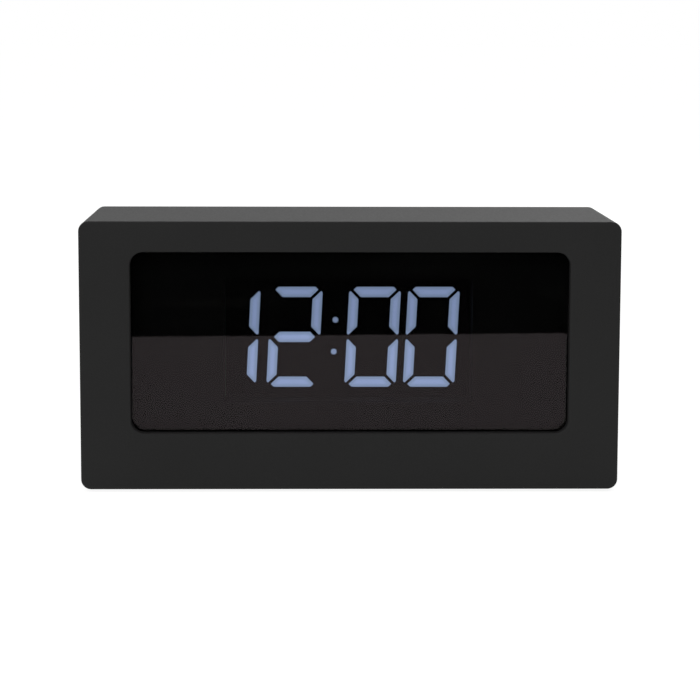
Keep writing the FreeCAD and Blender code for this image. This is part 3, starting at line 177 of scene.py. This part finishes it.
# Transfer-moulded epoxy packages: charcoal with a sandy surface from the filler.
chipLook = {"colour": "#18181a", "lighter": "#242426", "driftMm": 2.5, "grainMm": 0.25,
            "grainDepthMm": 0.01, "roughness": (0.55, 0.75), "ior": 1.55, "specular": 0.5}
dress(mouldedPlastic("filledEpoxy", chipLook), "clock_chip", "driver_transistors", "segment_resistors",
      "alarm_sounder", "usb_socket_tongue")

# Heat-shrunk PVC sleeve: glossy dark blue-grey, with faint pulls around the can.
sleeveLook = {"colour": "#15171f", "lighter": "#1f2230", "driftMm": 3, "grainMm": 2,
              "grainDepthMm": 0.02, "roughness": (0.18, 0.3), "ior": 1.54, "specular": 0.5}
dress(mouldedPlastic("shrunkPvcSleeve", sleeveLook), "capacitors")

# Extruded PVC wire covers: a soft gloss with small ripples along them.
redWireLook = {"colour": "#9c1414", "lighter": "#b51d1a", "driftMm": 6, "grainMm": 1.5,
               "grainDepthMm": 0.02, "roughness": (0.32, 0.45), "ior": 1.53, "specular": 0.5}
dress(mouldedPlastic("redExtrudedPvc", redWireLook), "red_battery_lead")
blackWireLook = {"colour": "#121213", "lighter": "#1a1a1b", "driftMm": 6, "grainMm": 1.5,
                 "grainDepthMm": 0.02, "roughness": (0.32, 0.45), "ior": 1.53, "specular": 0.5}
dress(mouldedPlastic("blackExtrudedPvc", blackWireLook), "black_battery_lead")

# Die-cut silicone rubber feet: dead matt, and dusty in the pores.
rubberLook = {"colour": "#151515", "lighter": "#222121", "driftMm": 3, "grainMm": 0.35,
              "grainDepthMm": 0.03, "roughness": (0.8, 0.95), "ior": 1.45, "specular": 0.3}
dress(mouldedPlastic("dieCutSilicone", rubberLook), "rubber_feet")

# Black acrylic foam tape: open cells along its cut edge.
tapeLook = {"colour": "#0d0d0e", "lighter": "#141415", "driftMm": 2, "grainMm": 0.2,
            "grainDepthMm": 0.03, "roughness": (0.75, 0.9), "ior": 1.45, "specular": 0.3}
dress(mouldedPlastic("acrylicFoamTape", tapeLook), "window_tape")
print("plastics and rubbers done")


# Metals

def finishedMetal(name, look):
    material, tree = startMaterial(name)
    coords = addNode(tree, "ShaderNodeTexCoord")
    stretch = addNode(tree, "ShaderNodeMapping", {"Scale": look["stretch"]},
                      {"Vector": (coords, "Object")})
    lines = addNode(tree, "ShaderNodeTexNoise", {"Scale": perMetre(look["lineMm"]), "Detail": 3.0},
                    {"Vector": (stretch, 0)})
    colour = addNode(tree, "ShaderNodeMix", twoColours(look["colour"], look["lighter"]), {0: (lines, 0)})
    gloss = addNode(tree, "ShaderNodeMapRange", spread(*look["roughness"]), {"Value": (lines, 0)})
    bump = addNode(tree, "ShaderNodeBump", {"Strength": 0.4, "Distance": look["depthMm"] * mm},
                   {"Height": (lines, 0)})
    shader = addNode(tree, "ShaderNodeBsdfPrincipled", {"Metallic": 1.0},
                     {"Base Color": (colour, 2), "Roughness": (gloss, 0), "Normal": (bump, 0)})
    addNode(tree, "ShaderNodeOutputMaterial", {}, {"Surface": (shader, 0)})
    return material


# Nickel-plated spring steel and brass: warm silver, with drawing lines along the strip.
nickelLook = {"colour": "#a39d90", "lighter": "#c2bcb0", "lineMm": 0.5, "stretch": (1, 1, 0.15),
              "depthMm": 0.01, "roughness": (0.22, 0.36)}
dress(finishedMetal("nickelPlatedStrip", nickelLook), "battery_plates", "battery_springs",
      "usb_socket_shell", "crystal_can")

# Black-oxided steel screws, cold headed: dark grey, mottled and half gloss.
screwLook = {"colour": "#3a3a3c", "lighter": "#55555a", "lineMm": 0.6, "stretch": (1, 1, 1),
             "depthMm": 0.01, "roughness": (0.3, 0.48)}
dress(finishedMetal("blackOxidedSteel", screwLook), "cover_screws", "carrier_screws",
      "display_board_screws", "main_board_screws")
print("metals done")


# Circuit boards: green solder mask screened over copper, so the tracks show as paler raised bands.
# Real tracks are narrower, and are drawn as bands wide enough to show on their own board.
boardLook = {"mask": "#0d3d24", "track": "#1b6339", "bandMm": 11.31, "patchMm": 9, "bareReach": 0.35,
             "bandEdge": (0.45, 0.6), "roughness": (0.28, 0.4), "reliefMm": 0.03}
waveTurn = 2 * math.pi / 20  # the length of one band in Blender's wave texture at a scale of 1


def solderMask(name, look):
    material, tree = startMaterial(name)
    coords = addNode(tree, "ShaderNodeTexCoord")
    tracks = addNode(tree, "ShaderNodeTexWave",
                     {"wave_type": "BANDS", "bands_direction": "X",
                      "Scale": perMetre(look["bandMm"]) * waveTurn}, {"Vector": (coords, "Object")})
    patches = addNode(tree, "ShaderNodeTexVoronoi",
                      {"Scale": perMetre(look["patchMm"]), "distance": "CHEBYCHEV"},
                      {"Vector": (coords, "Object")})
    patch = addNode(tree, "ShaderNodeMath", {"operation": "GREATER_THAN", 1: look["bareReach"]},
                    {0: (patches, "Distance")})
    copper = addNode(tree, "ShaderNodeMath", {"operation": "MULTIPLY"},
                     {0: (tracks, "Fac"), 1: (patch, 0)})
    edge = addNode(tree, "ShaderNodeMapRange",
                   {"From Min": look["bandEdge"][0], "From Max": look["bandEdge"][1]},
                   {"Value": (copper, 0)})
    colour = addNode(tree, "ShaderNodeMix", twoColours(look["mask"], look["track"]), {0: (edge, 0)})
    gloss = addNode(tree, "ShaderNodeMapRange",
                    {"To Min": look["roughness"][0], "To Max": look["roughness"][1]},
                    {"Value": (edge, 0)})
    bump = addNode(tree, "ShaderNodeBump", {"Strength": 0.5, "Distance": look["reliefMm"] * mm},
                   {"Height": (edge, 0)})
    shader = addNode(tree, "ShaderNodeBsdfPrincipled", {"IOR": 1.5},
                     {"Base Color": (colour, 2), "Roughness": (gloss, 0), "Normal": (bump, 0)})
    addNode(tree, "ShaderNodeOutputMaterial", {}, {"Surface": (shader, 0)})
    return material


dress(solderMask("screenedSolderMask", boardLook), "display_board", "main_board")

# LED chips: pale ceramic packages round a yellow phosphor pool
ledLook = {"ceramic": "#e3e0d6", "phosphor": "#d8c247", "poolMm": 1.3, "poolEdge": (0.45, 0.55),
           "roughness": 0.35}


def ledPackage(name, look):
    material, tree = startMaterial(name)
    coords = addNode(tree, "ShaderNodeTexCoord")
    pools = addNode(tree, "ShaderNodeTexNoise", {"Scale": perMetre(look["poolMm"]), "Detail": 1.0},
                    {"Vector": (coords, "Object")})
    pool = addNode(tree, "ShaderNodeMapRange",
                   {"From Min": look["poolEdge"][0], "From Max": look["poolEdge"][1]},
                   {"Value": (pools, 0)})
    colour = addNode(tree, "ShaderNodeMix", twoColours(look["ceramic"], look["phosphor"]), {0: (pool, 0)})
    shader = addNode(tree, "ShaderNodeBsdfPrincipled", {"IOR": 1.5, "Roughness": look["roughness"]},
                     {"Base Color": (colour, 2)})
    addNode(tree, "ShaderNodeOutputMaterial", {}, {"Surface": (shader, 0)})
    return material


dress(ledPackage("phosphorPackage", ledLook), "segment_leds")

# Ribbon cable: grey extruded PVC, a groove between every two wires and one red edge. The grooves also
# carry painted shade: they are coloured a darker grey, as if shadowed.
ribbonLook = {"grey": "#8c8c89", "paintedGrooveShade": "#6f6f6c", "stripe": "#a3201c", "wirePitchMm": 1.27,
              "stripeMm": 1.5, "grooveEdge": (-1.0, -0.3), "ribMm": 0.15, "roughness": 0.42}


def ribbonSleeve(name, look):
    material, tree = startMaterial(name)
    coords = addNode(tree, "ShaderNodeTexCoord")
    place = addNode(tree, "ShaderNodeSeparateXYZ", {}, {0: (coords, "Object")})
    turns = addNode(tree, "ShaderNodeMath",
                    {"operation": "MULTIPLY", 1: 2 * math.pi * perMetre(look["wirePitchMm"])},
                    {0: (place, "X")})
    rib = addNode(tree, "ShaderNodeMath", {"operation": "COSINE"}, {0: (turns, 0)})
    groove = addNode(tree, "ShaderNodeMapRange",
                     {"From Min": look["grooveEdge"][0], "From Max": look["grooveEdge"][1]},
                     {"Value": (rib, 0)})
    # painted shade: the grey is darkened in each groove, as if in shadow
    grey = addNode(tree, "ShaderNodeMix", twoColours(look["paintedGrooveShade"], look["grey"]), {0: (groove, 0)})
    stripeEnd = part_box("ribbon_cable")[0].x + look["stripeMm"] * mm
    edge = addNode(tree, "ShaderNodeMath", {"operation": "LESS_THAN", 1: stripeEnd}, {0: (place, "X")})
    colour = addNode(tree, "ShaderNodeMix", {"data_type": "RGBA", 7: linear(look["stripe"])},
                     {0: (edge, 0), 6: (grey, 2)})
    bump = addNode(tree, "ShaderNodeBump", {"Strength": 0.8, "Distance": look["ribMm"] * mm},
                   {"Height": (groove, 0)})
    shader = addNode(tree, "ShaderNodeBsdfPrincipled", {"IOR": 1.53, "Roughness": look["roughness"]},
                     {"Base Color": (colour, 2), "Normal": (bump, 0)})
    addNode(tree, "ShaderNodeOutputMaterial", {}, {"Surface": (shader, 0)})
    return material


dress(ribbonSleeve("ribbedPvcRibbon", ribbonLook), "ribbon_cable")

# Cell jackets: printed foil, with one pale band, rolled over a steel can whose ends stay bare. Both are
# measured from the middle of the battery bay.
cellLook = {"jacket": "#26384a", "band": "#b9bfc4", "bandMm": (7, 15), "steel": "#b8b5ae",
            "jacketMm": (-21.2, 21.2), "grainMm": 0.8, "printedMetal": 0.35, "roughness": (0.25, 0.34)}


def cellJacket(name, look):
    material, tree = startMaterial(name)
    coords = addNode(tree, "ShaderNodeTexCoord")
    place = addNode(tree, "ShaderNodeSeparateXYZ", {}, {0: (coords, "Object")})
    grain = addNode(tree, "ShaderNodeTexNoise", {"Scale": perMetre(look["grainMm"]), "Detail": 2.0},
                    {"Vector": (coords, "Object")})
    bayMiddle = (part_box("battery_lower")[0].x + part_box("battery_upper")[1].x) / 2
    inside = {}
    for part in ("bandMm", "jacketMm"):
        low, high = look[part]
        middle, half = bayMiddle + (low + high) / 2 * mm, (high - low) / 2 * mm
        away = addNode(tree, "ShaderNodeMath", {"operation": "SUBTRACT", 1: middle}, {0: (place, "X")})
        reach = addNode(tree, "ShaderNodeMath", {"operation": "ABSOLUTE"}, {0: (away, 0)})
        inside[part] = addNode(tree, "ShaderNodeMath", {"operation": "LESS_THAN", 1: half},
                               {0: (reach, 0)})
    printed = addNode(tree, "ShaderNodeMix", twoColours(look["jacket"], look["band"]),
                      {0: (inside["bandMm"], 0)})
    colour = addNode(tree, "ShaderNodeMix", {"data_type": "RGBA", 6: linear(look["steel"])},
                     {0: (inside["jacketMm"], 0), 7: (printed, 2)})
    metal = addNode(tree, "ShaderNodeMapRange", {"To Min": 1.0, "To Max": look["printedMetal"]},
                    {"Value": (inside["jacketMm"], 0)})
    gloss = addNode(tree, "ShaderNodeMapRange", spread(*look["roughness"]), {"Value": (grain, 0)})
    shader = addNode(tree, "ShaderNodeBsdfPrincipled", {"IOR": 1.5},
                     {"Base Color": (colour, 2), "Metallic": (metal, 0), "Roughness": (gloss, 0)})
    addNode(tree, "ShaderNodeOutputMaterial", {}, {"Surface": (shader, 0)})
    return material


dress(cellJacket("printedFoilJacket", cellLook), "battery_upper", "battery_lower")

# Window: cast acrylic dyed through, polished. It holds back most of the light that crosses it, and
# mirrors what stands in front of it, with a faint film left by a cloth that was drawn across it in long
# slanting strokes. alpha is what one face keeps back.
windowLook = {"dye": "#050505", "haze": "#151413", "alpha": 0.41, "roughness": (0.0, 0.02),
              "wipeMm": 26, "wipeTurn": 0.35, "wipeStretch": (0.5, 1, 1.6), "filmEdge": (0.55, 0.8),
              "ior": 1.49, "specular": 0.42, "tint": "#ffeef2", "airMm": 0.05}


def smokedAcrylic(name, look):
    material, tree = startMaterial(name)
    coords = addNode(tree, "ShaderNodeTexCoord")
    swing = addNode(tree, "ShaderNodeMapping",
                    {"Rotation": (0, look["wipeTurn"], 0), "Scale": look["wipeStretch"]},
                    {"Vector": (coords, "Object")})
    wipe = addNode(tree, "ShaderNodeTexNoise",
                   {"Scale": perMetre(look["wipeMm"]), "Detail": 6.0, "Distortion": 1.4},
                   {"Vector": (swing, 0)})
    film = addNode(tree, "ShaderNodeMapRange",
                   {"From Min": look["filmEdge"][0], "From Max": look["filmEdge"][1]},
                   {"Value": (wipe, 0)})
    colour = addNode(tree, "ShaderNodeMix", twoColours(look["dye"], look["haze"]), {0: (film, 0)})
    gloss = addNode(tree, "ShaderNodeMapRange", spread(*look["roughness"]), {"Value": (wipe, 0)})
    shader = addNode(tree, "ShaderNodeBsdfPrincipled",
                     {"IOR": look["ior"], "Specular IOR Level": look["specular"], "Alpha": look["alpha"],
                      "Specular Tint": linear(look["tint"])},
                     {"Base Color": (colour, 2), "Roughness": (gloss, 0)})
    addNode(tree, "ShaderNodeOutputMaterial", {}, {"Surface": (shader, 0)})
    return material


# The pane's back is drawn in a little, so that a film of air lies before the carrier that clamps it
pane = nodes["window_lens"].data.copy()
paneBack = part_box("window_lens")[1].y - windowLook["airMm"] * mm
for vert in pane.vertices:
    vert.co.y = min(vert.co.y, paneBack)
acrylic = smokedAcrylic("dyedCastAcrylic", windowLook)
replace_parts(addPiece("window_pane", pane, acrylic, "case"), "window_lens")
print("boards, cable, cells and window done")


# Lit bars: milky epoxy over the LED chips. Each glows bluest along its middle and falls off towards
# its rim, and the chips in the upper half of a figure are driven a little less.
glowLook = {"core": "#b4cbff", "rim": "#a0b7df", "rimMm": 0.4, "coreMm": 1.25, "cellMm": 0.35,
            "strength": 1.51, "upperDrive": 0.8, "upperFromMm": 1.7, "hotspotMm": 5,
            "hotspotSpan": (0.8, 1.2), "epoxy": "#3a3d44", "roughness": 0.5}
dotLook = dict(glowLook, rimMm=0.2, coreMm=0.7, strength=1.3)


def glowingEpoxy(name, look):
    material, tree = startMaterial(name)
    coords = addNode(tree, "ShaderNodeTexCoord")
    hotspots = addNode(tree, "ShaderNodeTexNoise",
                       {"Scale": perMetre(look["hotspotMm"]), "Detail": 1.0},
                       {"Vector": (coords, "Object")})
    glow = addNode(tree, "ShaderNodeAttribute", {"attribute_name": "glow"})
    drive = addNode(tree, "ShaderNodeAttribute", {"attribute_name": "drive"})
    evenness = addNode(tree, "ShaderNodeMapRange",
                       {"To Min": look["hotspotSpan"][0], "To Max": look["hotspotSpan"][1]},
                       {"Value": (hotspots, 0)})
    level = addNode(tree, "ShaderNodeMath", {"operation": "MULTIPLY", "use_clamp": True},
                    {0: (glow, "Fac"), 1: (evenness, 0)})
    light = addNode(tree, "ShaderNodeMix", twoColours(look["rim"], look["core"]), {0: (level, 0)})
    light = addNode(tree, "ShaderNodeMix", {"data_type": "RGBA", "blend_type": "MULTIPLY", 0: 1.0},
                    {6: (light, 2), 7: (drive, "Color")})
    shader = addNode(tree, "ShaderNodeBsdfPrincipled",
                     {"Base Color": linear(look["epoxy"]), "IOR": 1.5, "Roughness": look["roughness"],
                      "Emission Strength": look["strength"]}, {"Emission Color": (light, 2)})
    addNode(tree, "ShaderNodeOutputMaterial", {}, {"Surface": (shader, 0)})
    return material


def toEdge(point, edges):  # distance from a point to the nearest edge of the bars' front faces
    away = []
    for start, end in edges:
        along = end - start
        share = max(0.0, min(1.0, (point - start).dot(along) / along.length_squared))
        away.append((point - start - along * share).length)
    return min(away)


def makeGlowPiece(name, node, material, look):  # the node's bars, cut into cells that carry their glow
    mesh = nodes[node].data.copy()
    form = bmesh.new()
    form.from_mesh(mesh)
    weld, flat = 0.001 * mm, math.radians(2)
    bmesh.ops.remove_doubles(form, verts=form.verts, dist=weld)
    bmesh.ops.dissolve_limit(form, angle_limit=flat, verts=form.verts, edges=form.edges)
    low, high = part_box(node)
    upperFrom = middleOf(node).z + look["upperFromMm"] * mm
    facing = -0.9  # a face whose normal has less than this in y faces the front
    fronts = [[vert.co.copy() for vert in face.verts] for face in form.faces if face.normal.y < facing]
    edges = [(loop[i - 1], loop[i]) for loop in fronts for i in range(len(loop))]
    for axis in (0, 2):
        cuts = int((high[axis] - low[axis]) / (look["cellMm"] * mm))
        for cut in range(1, cuts):
            place, way = Vector(low), Vector((0, 0, 0))
            place[axis] += (high[axis] - low[axis]) * cut / cuts
            way[axis] = 1
            bmesh.ops.bisect_plane(form, geom=form.verts[:] + form.edges[:] + form.faces[:],
                                   plane_co=place, plane_no=way)
    glow = form.verts.layers.float.new("glow")
    drive = form.verts.layers.float_color.new("drive")
    for vert in form.verts:
        depth = (toEdge(vert.co, edges) / mm - look["rimMm"]) / (look["coreMm"] - look["rimMm"])
        depth = max(0.0, min(1.0, depth))
        vert[glow] = depth * depth * (3 - 2 * depth)
        level = look["upperDrive"] if vert.co.z > upperFrom else 1.0
        vert[drive] = (level, level, level, 1.0)
    form.to_mesh(mesh)
    form.free()
    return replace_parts(addPiece(name, mesh, material, "case"), node)


barGlow = glowingEpoxy("milkyEpoxyLit", glowLook)
dotGlow = glowingEpoxy("milkyEpoxyDot", dotLook)
for digit in ("hour_tens", "hour_units", "minute_tens", "minute_units"):
    makeGlowPiece(f"{digit}_glow", f"{digit}_lit_bars", barGlow, glowLook)
makeGlowPiece("colon_glow", "colon_dots", dotGlow, dotLook)
print("display done")


# Marks on the back: pad-printed ink, pale grey and laid a little thin, so it is uneven. Each is a set of
# flat outlines in mm, right and up as seen from behind.
markLook = {"colour": "#838381", "lighter": "#9a9a98", "driftMm": 2, "grainMm": 0.2,
            "grainDepthMm": 0.005, "roughness": (0.55, 0.7), "ior": 1.5, "specular": 0.4,
            "thicknessMm": 0.1, "sinkMm": 0.05, "strokeMm": 0.34, "overKeyMm": 6.1,
            "overSwitchMm": 6.1, "besideSwitchMm": 3.2, "switchTravelMm": 3, "underSocketMm": 4.6,
            "underDoorTopMm": 13}
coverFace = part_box("back_cover")[1].y


def stripe(x0, y0, x1, y1, width):
    along = Vector((x1 - x0, y1 - y0)).normalized() * width / 2
    side = Vector((-along.y, along.x))
    return [(x0 - side.x, y0 - side.y), (x1 - side.x, y1 - side.y),
            (x1 + side.x, y1 + side.y), (x0 + side.x, y0 + side.y)]


def arc(radius, start, end, steps):
    turns = [math.radians(start + (end - start) * i / steps) for i in range(steps + 1)]
    return [(radius * math.cos(turn), radius * math.sin(turn)) for turn in turns]


def ring(radius, width, steps=28):
    inner, outer = arc(radius - width / 2, 0, 360, steps), arc(radius + width / 2, 0, 360, steps)
    return [[inner[i], outer[i], outer[i + 1], inner[i + 1]] for i in range(steps)]


def makeMark(name, outlines, x, z, material, face=coverFace, body="case"):
    foot, top = face - markLook["sinkMm"] * mm, face + markLook["thicknessMm"] * mm
    form = bmesh.new()
    for outline in outlines:
        loops = [[form.verts.new((x - u * mm, y, z + v * mm)) for u, v in outline] for y in (foot, top)]
        form.faces.new(loops[1])
        form.faces.new(loops[0][::-1])
        for i in range(len(outline)):
            j = (i + 1) % len(outline)
            form.faces.new((loops[0][i], loops[0][j], loops[1][j], loops[1][i]))
    bmesh.ops.recalc_face_normals(form, faces=form.faces)
    mesh = bpy.data.meshes.new(name)
    form.to_mesh(mesh)
    form.free()
    return addPiece(name, mesh, material, body)


padPrintInk = mouldedPlastic("padPrintedInk", markLook)
line = markLook["strokeMm"]
clockMark = ring(1.6, line) + [stripe(0, 0, 0, 1.1, line), stripe(0, 0, 0.8, 0, line)]
bellDome = [(x, y + 0.45) for x, y in arc(1.0, 0, 180, 12)]
bellMark = [[(-1.5, -0.9), (1.5, -0.9), (1.0, -0.3)] + bellDome + [(-1.0, -0.3)],
            [(x, y - 1.15) for x, y in arc(0.42, 180, 360, 8)]]
slashedBell = bellMark + [stripe(-1.5, -1.7, 1.5, 1.7, line)]
minusMark = [stripe(-1.2, 0, 1.2, 0, line)]
plusMark = minusMark + [stripe(0, line / 2, 0, 1.2, line), stripe(0, -1.2, 0, -line / 2, line)]
lampMark = [arc(0.75, 0, 360, 20)[:-1]]
for turn in range(0, 360, 45):
    way = Vector((math.cos(math.radians(turn)), math.sin(math.radians(turn))))
    lampMark.append(stripe(*(way * 1.1), *(way * 1.7), line))
chargeMark = [[(0.35, 1.7), (-1.0, -0.15), (-0.1, -0.15)], [(-0.35, -1.7), (1.0, 0.15), (0.1, 0.15)],
              [(0.35, 1.7), (-0.1, -0.15), (-0.35, -1.7), (0.1, 0.15)]]
openMark = [[(-1.6, 1.2), (0, -1.2), (1.6, 1.2)]]

marks = {"time": clockMark, "alarm": bellMark, "minus": minusMark, "plus": plusMark, "light": lampMark}
for button, mark in marks.items():
    spot = middleOf(f"{button}_button")
    makeMark(f"{button}_mark", mark, spot.x, spot.z + markLook["overKeyMm"] * mm, padPrintInk)
spot = middleOf("usb_socket_shell")
makeMark("charge_mark", chargeMark, spot.x, spot.z - markLook["underSocketMm"] * mm, padPrintInk)
spot = middleOf("alarm_slider")
for name, mark, side in (("alarm_on_mark", bellMark, 1), ("alarm_off_mark", slashedBell, -1)):
    away = (markLook["switchTravelMm"] / 2 + side * markLook["besideSwitchMm"]) * mm
    makeMark(name, mark, spot.x + away, spot.z + markLook["overSwitchMm"] * mm, padPrintInk)
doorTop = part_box("battery_door")[1]
makeMark("door_arrow", openMark, middleOf("battery_door").x,
         doorTop.z - markLook["underDoorTopMm"] * mm, coverAbs, doorTop.y, "battery_flap")

# Blank rating plate: brushed aluminium foil label with nothing on it, in its recess in the cover
plateLook = {"colour": "#8e9092", "lighter": "#a6a8aa", "lineMm": 0.5, "stretch": (0.05, 1, 1),
             "depthMm": 0.004, "roughness": (0.34, 0.46), "xMm": 30, "zMm": 21.2, "widthMm": 51.2,
             "heightMm": 19.2, "cornerMm": 1.3, "recessMm": 0.3}
foil = finishedMetal("brushedFoilLabel", plateLook)
halfWide = plateLook["widthMm"] / 2 - plateLook["cornerMm"]
halfHigh = plateLook["heightMm"] / 2 - plateLook["cornerMm"]
plateOutline = []
for start, acrossWay, upWay in ((0, 1, 1), (90, -1, 1), (180, -1, -1), (270, 1, -1)):
    corner = arc(plateLook["cornerMm"], start, start + 90, 6)
    plateOutline += [(x + acrossWay * halfWide, y + upWay * halfHigh) for x, y in corner]
makeMark("blank_plate", [plateOutline], plateLook["xMm"] * mm, plateLook["zMm"] * mm, foil,
         coverFace - plateLook["recessMm"] * mm)

# Contacts on both sides of the charging socket's tongue: plain gold-plated strips
contactLook = {"colour": "#b8913c", "lighter": "#d1ac58", "lineMm": 0.3, "stretch": (1, 0.2, 1),
               "depthMm": 0.003, "roughness": (0.2, 0.3), "count": 12, "pitchMm": 0.5, "widthMm": 0.26,
               "lengthMm": 2.4, "standMm": 0.03, "fromTipMm": 0.3, "edgeMm": 0.01, "tongueMm": 0.7}


def makeContacts(name, look):  # bars sunk half way into the tongue, which is tongueMm thick
    middle, tip = middleOf("usb_socket_tongue"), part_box("usb_socket_tongue")[1].y
    bar = Vector((look["widthMm"], look["lengthMm"], 2 * look["standMm"])) * mm
    form = bmesh.new()
    for side in (-1, 1):
        for i in range(look["count"]):
            step = (i - (look["count"] - 1) / 2) * look["pitchMm"] * mm
            spot = Vector((middle.x + step, tip - look["fromTipMm"] * mm - bar.y / 2,
                           middle.z + side * look["tongueMm"] / 2 * mm))
            place = Matrix.Translation(spot) @ Matrix.Diagonal((*bar, 1))
            bmesh.ops.create_cube(form, size=1.0, matrix=place)
    bmesh.ops.bevel(form, geom=form.edges[:], offset=look["edgeMm"] * mm, segments=1, affect="EDGES")
    mesh = bpy.data.meshes.new(name)
    form.to_mesh(mesh)
    form.free()
    return addPiece(name, mesh, finishedMetal("goldPlatedContact", look), "case")


makeContacts("socket_contacts", contactLook)
print("marks, plate and contacts done")


# Stage: a pale painted floor that keeps a faint shadow. It lies a hair under the feet, so that the two
# don't share a plane, and off centre, so that the fold between its triangles isn't under the clock.
# Its size and its shift aside are in metres.
floorLook = {"colour": "#e9e9e8", "seenWhite": 1.2, "shadowShare": 0.25, "size": 40.0, "aside": 3.0,
             "dropMm": 0.05}


def lookedAt(tree):  # the light path, and 1 for what is seen straight, in a mirror or through glass
    path = addNode(tree, "ShaderNodeLightPath")
    seen = addNode(tree, "ShaderNodeMath", {"operation": "MAXIMUM"},
                   {0: (path, "Is Camera Ray"), 1: (path, "Is Glossy Ray")})
    seen = addNode(tree, "ShaderNodeMath", {"operation": "MAXIMUM"},
                   {0: (seen, 0), 1: (path, "Is Transmission Ray")})
    return path, seen


def paleFloor(name, look):  # white with a faint shadow from above, clear from below, matt to the light
    material, tree = startMaterial(name)
    path, seen = lookedAt(tree)
    matt = addNode(tree, "ShaderNodeBsdfDiffuse", {"Color": linear(look["colour"])})
    white = addNode(tree, "ShaderNodeEmission", {"Strength": look["seenWhite"]})
    share = addNode(tree, "ShaderNodeMath", {"operation": "MULTIPLY", 1: 1 - look["shadowShare"]},
                    {0: (seen, 0)})
    surface = addNode(tree, "ShaderNodeMixShader", {}, {0: (share, 0), 1: (matt, 0), 2: (white, 0)})
    side = addNode(tree, "ShaderNodeNewGeometry")
    under = addNode(tree, "ShaderNodeMath", {"operation": "MULTIPLY"},
                    {0: (path, "Is Camera Ray"), 1: (side, "Backfacing")})
    clear = addNode(tree, "ShaderNodeBsdfTransparent")
    surface = addNode(tree, "ShaderNodeMixShader", {}, {0: (under, 0), 1: (surface, 0), 2: (clear, 0)})
    addNode(tree, "ShaderNodeOutputMaterial", {}, {"Surface": (surface, 0)})
    return material


def makeCard(name, corners, material):
    mesh = bpy.data.meshes.new(name)
    mesh.from_pydata(corners, [], [tuple(range(len(corners)))])
    card = bpy.data.objects.new(name, mesh)
    card.data.materials.append(material)
    scene.collection.objects.link(card)
    return card


half, aside, drop = floorLook["size"] / 2, floorLook["aside"], floorLook["dropMm"] * mm
makeCard("floor", [(aside - half, -half, -drop), (aside + half, -half, -drop),
                   (aside + half, half, -drop), (aside - half, half, -drop)],
         paleFloor("whitePaintedFloor", floorLook))

# A black velvet card in front of the clock, in metres and degrees. Only mirrors see it, and the window
# shows its foot.
cardLook = {"colour": "#030303", "away": 0.3868, "halfWidth": 1.4, "height": 0.9, "turn": 3.9}


def blackVelvet(name, look):
    material, tree = startMaterial(name)
    velvet = addNode(tree, "ShaderNodeBsdfDiffuse", {"Color": linear(look["colour"])})
    addNode(tree, "ShaderNodeOutputMaterial", {}, {"Surface": (velvet, 0)})
    return material


slant, reach, top = math.tan(math.radians(cardLook["turn"])), cardLook["halfWidth"], cardLook["height"]
leftFoot, rightFoot = [(x, -cardLook["away"] - x * slant) for x in (-reach, reach)]
blackCard = makeCard("black_card",
                     [(*leftFoot, 0), (*rightFoot, 0), (*rightFoot, top), (*leftFoot, top)],
                     blackVelvet("blackVelvetCard", cardLook))
blackCard.visible_camera = False
blackCard.visible_diffuse = False
blackCard.visible_transmission = False
blackCard.visible_shadow = False
blackCard.visible_volume_scatter = False

# The room: white to look at, and half as strong where it lights the clock
roomLook = {"seen": "#ffffff", "light": "#ffffff", "seenStrength": 1.0, "lightStrength": 0.5}


def softRoom(name, look):
    world = bpy.data.worlds.new(name)
    world.use_nodes = True
    tree = world.node_tree
    tree.nodes.clear()
    seen = lookedAt(tree)[1]
    white = addNode(tree, "ShaderNodeBackground",
                    {"Color": linear(look["seen"]), "Strength": look["seenStrength"]})
    light = addNode(tree, "ShaderNodeBackground",
                    {"Color": linear(look["light"]), "Strength": look["lightStrength"]})
    surface = addNode(tree, "ShaderNodeMixShader", {}, {0: (seen, 0), 1: (light, 0), 2: (white, 0)})
    addNode(tree, "ShaderNodeOutputWorld", {}, {"Surface": (surface, 0)})
    return world


scene.world = softRoom("softRoom", roomLook)

# Three softboxes that face the middle of the clock, in metres and watts
lampLook = {
    "overhead_softbox": {"spot": (0.0, 0.05, 1.1), "size": (1.3, 0.9), "power": 4.2},
    "front_softbox": {"spot": (-0.7, -1.2, 0.9), "size": (0.9, 0.9), "power": 7.8},
    "back_softbox": {"spot": (0.6, 1.2, 0.9), "size": (0.9, 0.9), "power": 5.0},
}
aim = Vector((0, 0, 0.04))
for name, lamp in lampLook.items():
    light = bpy.data.lights.new(name, "AREA")
    light.shape = "RECTANGLE"
    light.size, light.size_y = lamp["size"]
    light.energy = lamp["power"]
    holder = bpy.data.objects.new(name, light)
    holder.location = lamp["spot"]
    holder.rotation_euler = (aim - Vector(lamp["spot"])).to_track_quat("-Z", "Y").to_euler()
    scene.collection.objects.link(holder)
print("stage and lamps done")


# Camera: long lens a little above the clock and left of its middle
cameraLook = {"spotMm": (-14.4, -720.0, 136.3), "lens": 121.02, "pitch": -7.72, "yaw": -1.19,
              "roll": 0.17, "clip": (0.01, 50)}
pitch, yaw, roll = (math.radians(cameraLook[key]) for key in ("pitch", "yaw", "roll"))
level = Vector((-math.sin(yaw), math.cos(yaw), 0))
right = Vector((math.cos(yaw), math.sin(yaw), 0))
forward = level * math.cos(pitch) + Vector((0, 0, math.sin(pitch)))
up = Vector((0, 0, math.cos(pitch))) - level * math.sin(pitch)
axisX = right * math.cos(roll) + up * math.sin(roll)
axisY = up * math.cos(roll) - right * math.sin(roll)
camera = bpy.data.objects.new("camera", bpy.data.cameras.new("camera"))
camera.data.lens = cameraLook["lens"]
camera.data.clip_start, camera.data.clip_end = cameraLook["clip"]
turned = Matrix((axisX, axisY, -forward)).transposed().to_4x4()
camera.matrix_world = Matrix.Translation(Vector(cameraLook["spotMm"]) * mm) @ turned
scene.collection.objects.link(camera)
scene.camera = camera
scene.view_settings.view_transform = "Standard"
print("camera done")
